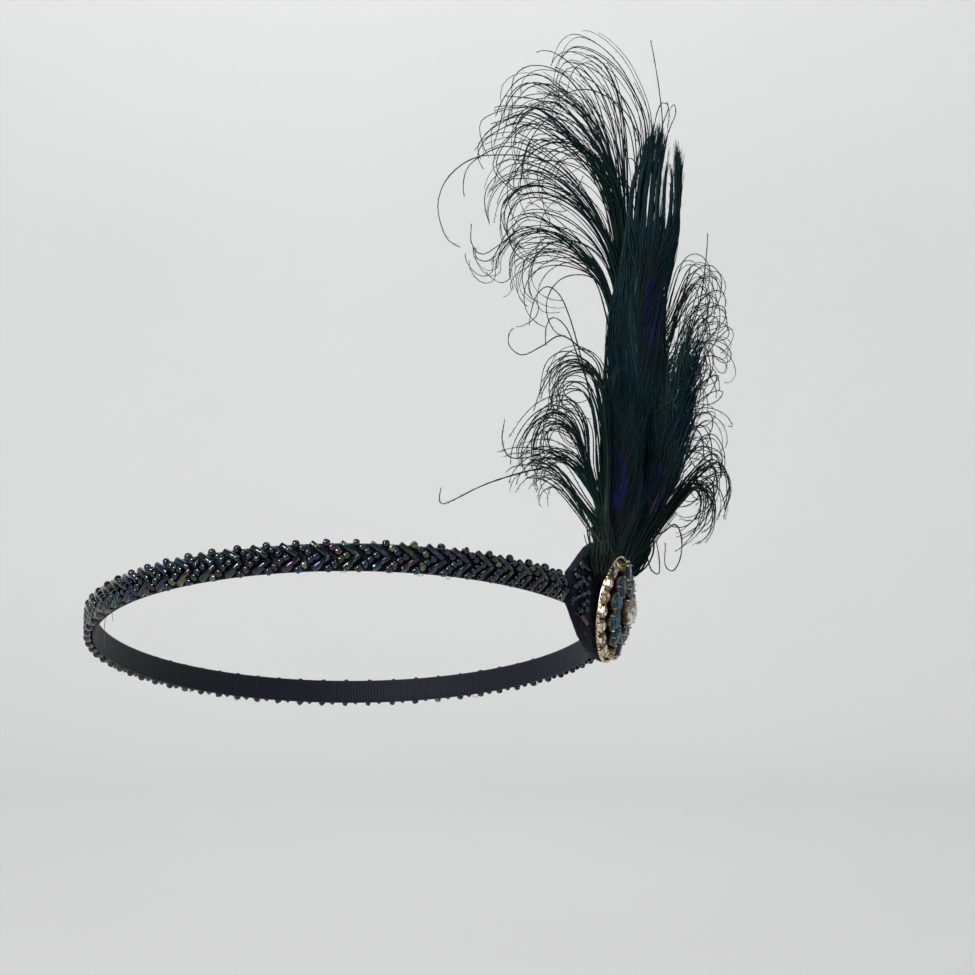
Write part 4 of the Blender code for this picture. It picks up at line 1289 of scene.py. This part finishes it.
def ribbon_finish():
    """Ribbed ribbon: fine ribs across it and a woven edge, drawn in its own UV map."""
    finish = Finish("ribbed_ribbon", Roughness=0.5, Specular_IOR_Level=0.08, Sheen_Weight=0.04)
    base = tuple(sizes().ribbon_colour)
    along, up, _ = finish.uv.axes()
    ribs = (along * (2 * math.pi * 620)).maths("SINE") * 0.5 + 0.5
    edge = (up - 0.5).maths("ABSOLUTE").between(0.40, 0.47)
    fibre = finish.noise(6000, 4)
    colour = ribs.mix(shade(base, 0.55), shade(base, 1.7))
    colour = (edge * 0.6).mix(colour, (0.012, 0.012, 0.020))
    colour = (fibre.between(0.5, 0.8) * 0.3).mix(colour, (0.02, 0.021, 0.030))
    finish.link(Base_Color=colour, Roughness=0.42 + 0.25 * fibre)
    finish.bump(ribs * (1 - edge) + 0.3 * fibre, 0.7, 0.00012)
    return finish.material


def thread_finish():
    finish = Finish("sewing_thread", Roughness=0.6, Specular_IOR_Level=0.3)
    bands = {"bands_direction": "DIAGONAL"}
    place = finish.place
    twist = place.node("ShaderNodeTexWave", bands, Vector=place, Scale=2200.0, Distortion=2.0)
    tint = finish.attribute("tint")
    dark = twist.mix((0.006, 0.006, 0.009), (0.022, 0.022, 0.030))
    finish.link(Base_Color=(tint > 0.8).mix(dark, (0.07, 0.07, 0.08)))
    finish.bump(twist, 0.4, 0.00004)
    return finish.material


# Operators


class HEADBAND_OT_studio(bpy.types.Operator):
    """Set up the camera, the backdrop and the soft lights"""

    bl_idname = "headband.studio"
    bl_label = "Studio"

    def execute(self, context):
        studio = context.scene.studio_settings
        turn = studio.camera_turn
        right = Vector((math.cos(turn), math.sin(turn), 0))
        back = Vector((math.sin(turn), -math.cos(turn), 0))
        camera = bpy.data.objects.new("camera", bpy.data.cameras.new("camera"))
        camera.data.lens = studio.lens
        camera.data.sensor_width = 36.0
        camera.data.clip_start = 0.01
        place = right * studio.camera_side + Z_AXIS * studio.camera_height
        camera.location = place + back * studio.camera_distance
        camera.rotation_euler = (math.pi / 2, 0, turn)
        context.scene.collection.objects.link(camera)
        context.scene.camera = camera
        self.backdrop(studio)
        aim, wall = (0.03, 0, 0.04), (0.10, 1.80, 0.50)
        self.light("window_light", (-0.75, -1.05, 0.95), aim, (0.40, 0.60), 21.5, (1.0, 0.995, 0.98))
        self.light("glint_light", (-0.30, -1.10, 0.75), aim, (0.06, 0.08), 7.0)
        self.light("top_light", (0.25, -0.25, 1.15), aim, (0.35, 0.35), 3.2)
        self.light("fill_light", (1.1, -0.9, 0.25), aim, (0.30, 0.60), 1.8)
        self.light("wall_light", (-0.30, 0.80, 1.20), wall, (0.6, 0.6), 10.5)
        world = bpy.data.worlds.new("soft_room")
        world.use_nodes = True
        sky = world.node_tree.nodes["Background"].inputs
        sky["Color"].default_value = (0.95, 0.95, 0.94, 1)
        sky["Strength"].default_value = 0.24
        context.scene.world = world
        context.scene.view_settings.view_transform = "Standard"
        return {"FINISHED"}

    def light(self, name, place, aim, size, power, colour=WHITE):
        lamp = bpy.data.lights.new(name, "AREA")
        lamp.shape = "RECTANGLE"
        lamp.size, lamp.size_y = size
        lamp.energy = power
        lamp.color = colour
        holder = bpy.data.objects.new(name, lamp)
        holder.visible_camera = False
        holder.location = place
        holder.rotation_euler = (Vector(place) - Vector(aim)).to_track_quat("Z", "Y").to_euler()
        bpy.context.scene.collection.objects.link(holder)

    def backdrop(self, studio):
        """A round pale floor that curves up into a wall on all sides, wide enough to walk round in."""
        bm = bmesh.new()
        low, bend, reach = studio.floor_height, 0.5, studio.room_radius
        turns = np.linspace(0, math.pi / 2, 12)
        across = reach - bend + bend * np.sin(turns)
        rises = low + bend - bend * np.cos(turns)
        sweep = [(0.02, low), *zip(across, rises), (reach, 1.6), (reach, 2.6)]
        verts = [bm.verts.new((across, 0, rise)) for across, rise in sweep]
        edges = [bm.edges.new(pair) for pair in zip(verts, verts[1:])]
        bmesh.ops.spin(
            bm,
            geom=verts + edges,
            cent=(0, 0, 0),
            axis=(0, 0, 1),
            angle=2 * math.pi,
            steps=72,
            use_merge=True,
        )
        rim = [edge for edge in bm.edges if edge.is_boundary and edge.verts[0].co.z < low + 0.01]
        bmesh.ops.holes_fill(bm, edges=rim)
        bmesh.ops.recalc_face_normals(bm, faces=list(bm.faces))
        bmesh.ops.reverse_faces(bm, faces=list(bm.faces))
        mesh = shape_mesh("backdrop", bm)
        mesh.shade_smooth()
        finish = Finish("painted_wall", Roughness=0.9, Specular_IOR_Level=0.2)
        cloud, grain = finish.noise(2.2, 3), finish.noise(900, 3)
        wall = tuple(studio.wall_colour)
        colour = cloud.between(0.2, 0.8).mix(shade(wall, 0.965), wall)
        finish.link(Base_Color=colour)
        finish.bump(grain, 0.05, 0.0003)
        mesh.materials.append(finish.material)
        sheet = bpy.data.objects.new("backdrop", mesh)
        bpy.context.scene.collection.objects.link(sheet)


class HEADBAND_OT_ribbon(bpy.types.Operator):
    """Make the ribbed ribbon that goes round the head"""

    bl_idname = "headband.ribbon"
    bl_label = "Ribbon"

    def execute(self, context):
        s = sizes()
        segments, rows = 300, 6
        bm = bmesh.new()
        made = bmesh.ops.create_circle(bm, segments=segments, radius=1)["verts"]
        edges = list(bm.edges)
        for vert in made:
            turn = math.atan2(vert.co.x, -vert.co.y)
            vert.co = loop_point(turn, 0, -s.ribbon_width / 2)
        for _ in range(rows):
            grown = bmesh.ops.extrude_edge_only(bm, edges=edges)["geom"]
            edges = [item for item in grown if isinstance(item, bmesh.types.BMEdge)]
            moved = [item for item in grown if isinstance(item, bmesh.types.BMVert)]
            bmesh.ops.translate(bm, verts=moved, vec=Z_AXIS * (s.ribbon_width / rows))
        bmesh.ops.recalc_face_normals(bm, faces=list(bm.faces))
        if sum(face.normal.dot(face.calc_center_median()) for face in bm.faces) < 0:
            bmesh.ops.reverse_faces(bm, faces=list(bm.faces))
        layer = bm.loops.layers.uv.new("weave")
        for face in bm.faces:
            middle = face.calc_center_median()
            seam = math.atan2(middle.x, -middle.y)
            for loop in face.loops:
                turn = math.atan2(loop.vert.co.x, -loop.vert.co.y)
                turn += 2 * math.pi * round((seam - turn) / (2 * math.pi))
                loop[layer].uv = (turn / (2 * math.pi), loop.vert.co.z / s.ribbon_width + 0.5)
        bmesh.ops.transform(bm, matrix=head_tilt(), verts=list(bm.verts))
        piece = add_piece("ribbed_ribbon", bm, ribbon_finish())
        wall = piece.modifiers.new("wall", "SOLIDIFY")
        wall.thickness = s.ribbon_thick * 0.92
        wall.offset = 1
        soft = piece.modifiers.new("soft_edge", "BEVEL")
        soft.width = s.ribbon_thick * 0.25
        soft.segments = 2
        soft.limit_method = "ANGLE"
        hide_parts("ribbon_band")
        return {"FINISHED"}


class HEADBAND_OT_beads(bpy.types.Operator):
    """Sew the herringbone of bugle and seed beads on the ribbon"""

    bl_idname = "headband.beads"
    bl_label = "Bead trim"

    def execute(self, context):
        s = sizes()
        random = np.random.default_rng(11)
        line = LoopLine(s.ribbon_thick + s.gap + s.bugle_radius)
        pad, tip = PadShape(), s.pad_half_length + s.gap
        start = line.length_at(pad.turn_beside(tip))
        end = line.length_at(pad.turn_beside(-tip) + 2 * math.pi)
        count = round((end - start) / s.pitch)
        step = (end - start) / count
        slant = s.bugle_slant
        bugle, seed = bugle_shape(), seed_shape()
        bugles, seeds = Copies(), Copies()
        base = s.ribbon_thick + s.gap
        half_rise = 0.5 * s.bugle_length * math.sin(slant)
        lead = 0.5 * s.bugle_length * math.cos(slant)
        for number in range(count):
            apex = start + (number + 0.31) * step + lead - 0.0034
            if apex > start + s.seed_radius:
                spot = line.frame(apex, base + s.seed_radius, random.normal(0, 0.00015))
                seeds.add(seed, spot @ ON_SIDE, random.uniform(0, 1))
            for side in (1, -1):
                shift = (number + (0.28 if side > 0 else 0.34)) * step
                middle = side * (half_rise + 0.00025)
                tilt = slant * random.uniform(0.94, 1.06) * -side
                lift = middle + random.normal(0, 0.00008)
                place = line.frame(start + shift, base + s.bugle_radius, lift)
                turn = Matrix.Rotation(tilt, 4, "Z") @ ON_SIDE
                roll = Matrix.Rotation(random.uniform(-0.05, 0.05), 4, "X")
                bugles.add(bugle, place @ turn @ roll, random.uniform(0, 1))
                for share in (-0.92, -0.22, 0.46):
                    along = shift + step / 2 + share * lead
                    height = middle - side * share * half_rise * 1.08
                    rest = base + s.seed_radius * random.uniform(0.95, 1.08)
                    if start + along > end:
                        continue
                    spot = line.frame(start + along + random.normal(0, 0.00010), rest, height)
                    turned = Matrix.Rotation(-side * slant, 4, "Z") @ ON_SIDE
                    lean = Matrix.Rotation(random.normal(0, 0.25), 4, "X")
                    grow = Matrix.Scale(random.uniform(0.93, 1.06), 4)
                    seeds.add(seed, spot @ turned @ lean @ grow, random.uniform(0, 1))
        bugle_glass, seed_glass = bead_finish("iris_bugle_glass", 0.30), bead_finish("iris_seed_glass", 0.55)
        bugle_piece = add_piece("bugle_beads", bugles.bm, bugle_glass)
        seed_piece = add_piece("seed_beads", seeds.bm, seed_glass)
        for piece in (bugle_piece, seed_piece):
            piece.data.set_sharp_from_angle(angle=math.radians(50))
        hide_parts("bead_trim")
        self.threads(line, start, end)
        return {"FINISHED"}

    def threads(self, line, start, end):
        """One loose end of thread and small loops of it along the trim's lower edge."""
        s = sizes()
        random = np.random.default_rng(17)
        floor = -s.ribbon_width / 2
        base = s.ribbon_thick + s.gap
        lines = []
        for turn, drop in ((-0.857, 0.0104), (-0.80, 0.0040)):
            place = line.frame(line.length_at(turn + 2 * math.pi), base, floor + 0.0004)
            hang = [(0, 0.0012, -0.0004), (0, -0.0006, 0.0006)]
            hang += [(-0.15 * drop, -0.35 * drop, 0.0010), (-0.35 * drop, -1.0 * drop, 0.0004)]
            lines.append(smooth_lines([place @ Vector(bend) for bend in hang], THREAD_POINTS))
        spots = [line.length_at(turn + 2 * math.pi) for turn in (0.345, 0.455, 0.555)]
        for spot in spots + list(random.uniform(start, end, 8)):
            place = line.frame(spot, base, floor)
            wide, deep = random.uniform(0.0006, 0.0010), random.uniform(0.0006, 0.0012)
            bends = [(-wide, 0.0009, 0), (-wide * 1.2, -deep * 0.5, 0.0004), (0, -deep, 0.0005)]
            bends += [(wide * 1.2, -deep * 0.4, 0.0004), (wide * 0.6, 0.0009, 0)]
            lines.append(smooth_lines([place @ Vector(bend) for bend in bends], THREAD_POINTS))
        widths = np.full((len(lines), THREAD_POINTS), 0.00008)
        tints = np.concatenate([[0.2, 0.3], random.uniform(0.7, 1.0, len(lines) - 2)])
        add_threads("sewing_threads", np.array(lines), widths, tints, thread_finish(), 5)


class HEADBAND_OT_feathers(bpy.types.Operator):
    """Grow the barbs of the three eye feathers and their quills"""

    bl_idname = "headband.feathers"
    bl_label = "Eye feathers"

    def execute(self, context):
        share = plume().density
        plans = [
            # name, (sections, slot, depth), barbs, (reach, tufts, loose, ragged),
            # (place of the eye, its half sizes, share of painted highlight streaks)
            ("tall", (TALL_FEATHER, 0.25, -0.004), 1900, (0.36, TALL_TUFTS, 0.0003, 0.11),
             ((0.093, 0.473), (0.019, 0.072), 0.22)),
            ("front", (FRONT_FEATHER, -1.75, 0.036), 950, (0.42, (), 0.0006, 0.10),
             ((-0.016, 0.145), (0.032, 0.058), 0.18)),
            ("right", (RIGHT_FEATHER, 3.0, 0.016), 560, (0.45, (), 0.0028, 0.45),
             ((0.098, 0.125), (0.022, 0.052), 0.25)),
        ]
        quill = quill_finish()
        for number, (name, form, count, growth, eye) in enumerate(plans):
            finish = eye_feather_finish(f"{name}_barbs_finish", *eye)
            strands = barb_lines(*form, int(count * share), 20 + number, *growth)
            piece = add_strands(f"{name}_barbs", *strands, finish, "feather")
            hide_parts(f"{name}_feather")
            add_strands(f"{name}_quill", *quill_line(*form), quill, "feather", 8)
            wisps = whisker_lines(strands[0], int(FEATHER_WISPS * share), 80 + number, 0.022, 0.8)
            add_strands(f"{name}_wisps", *wisps, finish, "feather")
        return {"FINISHED"}


class HEADBAND_OT_curls(bpy.types.Operator):
    """Grow the curled herl round the eye feathers"""

    bl_idname = "headband.curls"
    bl_label = "Curled herl"

    def execute(self, context):
        share = plume().density
        finish = herl_finish()
        plans = [
            # name, (guides, strays, slot, root depth), strands, (spread, hand, place behind the brooch)
            ("upper", (UPPER_GUIDES, UPPER_STRAYS + TOP_STRAYS, 1.25, -0.034), 172, (0.006, 1)),
            ("lower", (LOWER_GUIDES, LOWER_STRAYS, -2.75, 0.050), 100, (0.009, 1, (-0.019, 0.0, 0.076))),
            ("side", (SIDE_GUIDES, SIDE_STRAYS, 3.0, -0.054), 135, (0.012, -1, (0.074, 0.0, -0.10))),
        ]
        for number, (name, form, count, growth) in enumerate(plans):
            strands = curl_lines(*form, int(count * share), 40 + number, *growth)
            piece = add_strands(f"{name}_herl", *strands, finish, "herl")
            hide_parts(f"{name}_curls")
            fuzz = whisker_lines(strands[0], int(HERL_FUZZ * share), 60 + number, 0.0075)
            add_strands(f"{name}_herl_fuzz", *fuzz, finish, "herl")
        add_strands("stem_down", *down_lines(int(DOWN_STRANDS * share), 71), finish, "herl")
        return {"FINISHED"}


class HEADBAND_OT_pad(bpy.types.Operator):
    """Cut the felt pad, with its stitches and scattered beads"""

    bl_idname = "headband.pad"
    bl_label = "Felt pad"

    def execute(self, context):
        pad = PadShape()
        random = np.random.default_rng(31)
        felt = felt_finish()
        body = add_piece("felt_body", pad_body(), felt)
        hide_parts("felt_pad")
        hairs = []
        for _ in range(FELT_HAIRS):
            share, up = random.uniform(-1, 1), random.uniform(-1.0, 1.0)
            up = math.copysign(min(1.0, abs(up) ** 0.6), up)
            place = pad.frame_at(share, up, -0.0001 if abs(up) < 0.97 else -0.0011)
            lean = Vector((0, math.copysign(0.0004, up) * abs(up) ** 8, 0.0002))
            way = Vector(random.normal(0, 0.0004, 3)) + lean
            hairs.append([place @ (way * t + Vector((0, 0, -0.0001 * t * t))) for t in (0, 0.6, 1.0)])
        widths = np.tile([0.000035, 0.00003, 0.000015], (len(hairs), 1))
        tints = random.uniform(0, 1, len(hairs))
        add_threads("felt_fibres", np.array(hairs), widths, tints, felt)
        self.stitches(pad, random)
        self.beads(pad, random)
        return {"FINISHED"}

    def stitches(self, pad, random):
        """Running stitches round the pad's edge and down the front side of the brooch."""
        spots = [(-0.79, up, 0.0, 1.0) for up in np.linspace(-0.62, 0.93, 11)]
        for share in np.linspace(-0.94, 0.94, 19):
            spots += [(share, side * 0.90, 1.0, 0.0) for side in (1, -1)]
        arc = [(-1.0, -0.0003), (-0.8, 0.00008), (0.0, 0.00020), (0.8, 0.00008), (1.0, -0.0003)]
        lines = []
        for share, up, ahead, rise in spots:
            place = pad.frame_at(share + random.normal(0, 0.005), up + random.normal(0, 0.01), 0)
            step = Vector((ahead, rise, 0)) * random.uniform(0.00055, 0.00075)
            lean = Vector(random.normal(0, 0.00012, 3)) * math.sqrt(2)
            lines.append([place @ (step * t + lean * t + Vector((0, 0, lift))) for t, lift in arc])
        widths = np.full((len(lines), len(arc)), 0.00013)
        tints = random.uniform(0.3, 1, len(lines))
        add_threads("felt_stitches", np.array(lines), widths, tints, thread_finish(), 6)

    def beads(self, pad, random):
        """Beads sewn here and there on the felt beside the brooch."""
        s = sizes()
        seed, bugle = seed_shape(), bugle_shape()
        sewn, taken = Copies(), []
        for _ in range(FELT_BEAD_TRIES):
            front = random.uniform() < 0.72
            share = random.uniform(-0.98, -0.70) if front else random.uniform(0.72, 0.97)
            up = random.uniform(-0.85, 0.85)
            long = random.uniform() < 0.22
            place = pad.frame_at(share, up, s.bugle_radius * 0.9)
            spot = place.translation
            room = 0.0034 if long else 0.0021
            if any((spot - other).length < 0.5 * (room + other_room) for other, other_room in taken):
                continue
            taken.append((spot, room))
            turn = Matrix.Rotation(random.uniform(0, math.pi), 4, "Z") @ ON_SIDE
            scale = Matrix.Scale(0.72 if long else random.uniform(0.82, 1.0), 4)
            sewn.add(bugle if long else seed, place @ turn @ scale, random.uniform(0, 0.85))
        piece = add_piece("felt_beads", sewn.bm, bead_finish("iris_sewn_glass", 0.5))
        piece.data.set_sharp_from_angle(angle=math.radians(50))


class HEADBAND_OT_brooch(bpy.types.Operator):
    """Finish the gold setting and every cut stone"""

    bl_idname = "headband.brooch"
    bl_label = "Brooch"

    def execute(self, context):
        colours = context.scene.brooch_colours
        teal, navy, violet = tuple(colours.teal), tuple(colours.navy), tuple(colours.violet)
        crystal = (0.24, 0.19, 0.14), (0.75, 0.73, 0.68), (1.0, 0.98, 0.94), 0.3
        stones = {
            # nodes: name of the finish, its deep, bright and flash colours (painted shade and painted
            # reflections of its facets), clearness
            "centre": ("centre_crystal_glass", *crystal),
            "oval": ("teal_glass_foil", shade(teal, 0.14), teal, (0.06, 0.34, 0.46)),
            "baguette": ("navy_glass_foil", shade(navy, 0.2), navy, (0.03, 0.20, 0.34)),
            "small": ("violet_glass_foil", shade(violet, 0.3), (0.006, 0.05, 0.07), (0.30, 0.12, 0.10)),
            "rim": ("clear_glass_foil", (0.20, 0.17, 0.13), (0.75, 0.73, 0.70), (1.0, 1.0, 0.98), 0.25),
        }
        finishes = {"brooch_setting": gold_finish()}
        finishes.update({key: stone_finish(*look) for key, look in stones.items()})
        for name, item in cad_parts.items():
            finish = finishes.get(name) or finishes.get(name.split("_")[0])
            if finish:
                item.data.materials.clear()
                item.data.materials.append(finish)
        self.beading(finishes["brooch_setting"])
        return {"FINISHED"}

    def beading(self, gold):
        """A chain of small gold beads round the brooch's rim."""
        bm = bmesh.new()
        bmesh.ops.create_icosphere(bm, subdivisions=2, radius=RIM_BEAD_RADIUS)
        grain, chain = shape_mesh("rim_grain", bm), Copies()
        place = plume_axes()["brooch"]
        for turn in np.linspace(0, 2 * math.pi, RIM_BEADS, endpoint=False):
            spot = Matrix.Translation((RIM_RADIUS * math.cos(turn), RIM_RADIUS * math.sin(turn), 0.0010))
            chain.add(grain, place @ spot, 0.5)
        add_piece("rim_beading", chain.bm, gold)


class HEADBAND_PT_panel(bpy.types.Panel):
    """Buttons for each piece of the headband"""

    bl_idname = "HEADBAND_PT_panel"
    bl_label = "Headband"
    bl_space_type = "VIEW_3D"
    bl_region_type = "UI"
    bl_category = "Headband"

    def draw(self, context):
        for operator in OPERATORS:
            self.layout.operator(operator.bl_idname)


OPERATORS = (
    HEADBAND_OT_studio,
    HEADBAND_OT_ribbon,
    HEADBAND_OT_beads,
    HEADBAND_OT_pad,
    HEADBAND_OT_brooch,
    HEADBAND_OT_feathers,
    HEADBAND_OT_curls,
)
GROUPS = {
    "headband_sizes": HeadbandSizes,
    "brooch_colours": BroochColours,
    "plume_sizes": PlumeSizes,
    "studio_settings": StudioSettings,
}


def register():
    for group in GROUPS.values():
        bpy.utils.register_class(group)
    for name, group in GROUPS.items():
        setattr(bpy.types.Scene, name, bpy.props.PointerProperty(type=group))
    for operator in OPERATORS:
        bpy.utils.register_class(operator)
    bpy.utils.register_class(HEADBAND_PT_panel)


def unregister():
    bpy.utils.unregister_class(HEADBAND_PT_panel)
    for operator in reversed(OPERATORS):
        bpy.utils.unregister_class(operator)
    for name in GROUPS:
        delattr(bpy.types.Scene, name)
    for group in reversed(list(GROUPS.values())):
        bpy.utils.unregister_class(group)


def main():
    register()
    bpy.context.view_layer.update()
    for operator in OPERATORS:
        group, name = operator.bl_idname.split(".")
        getattr(getattr(bpy.ops, group), name)()


if __name__ == "__main__":
    main()
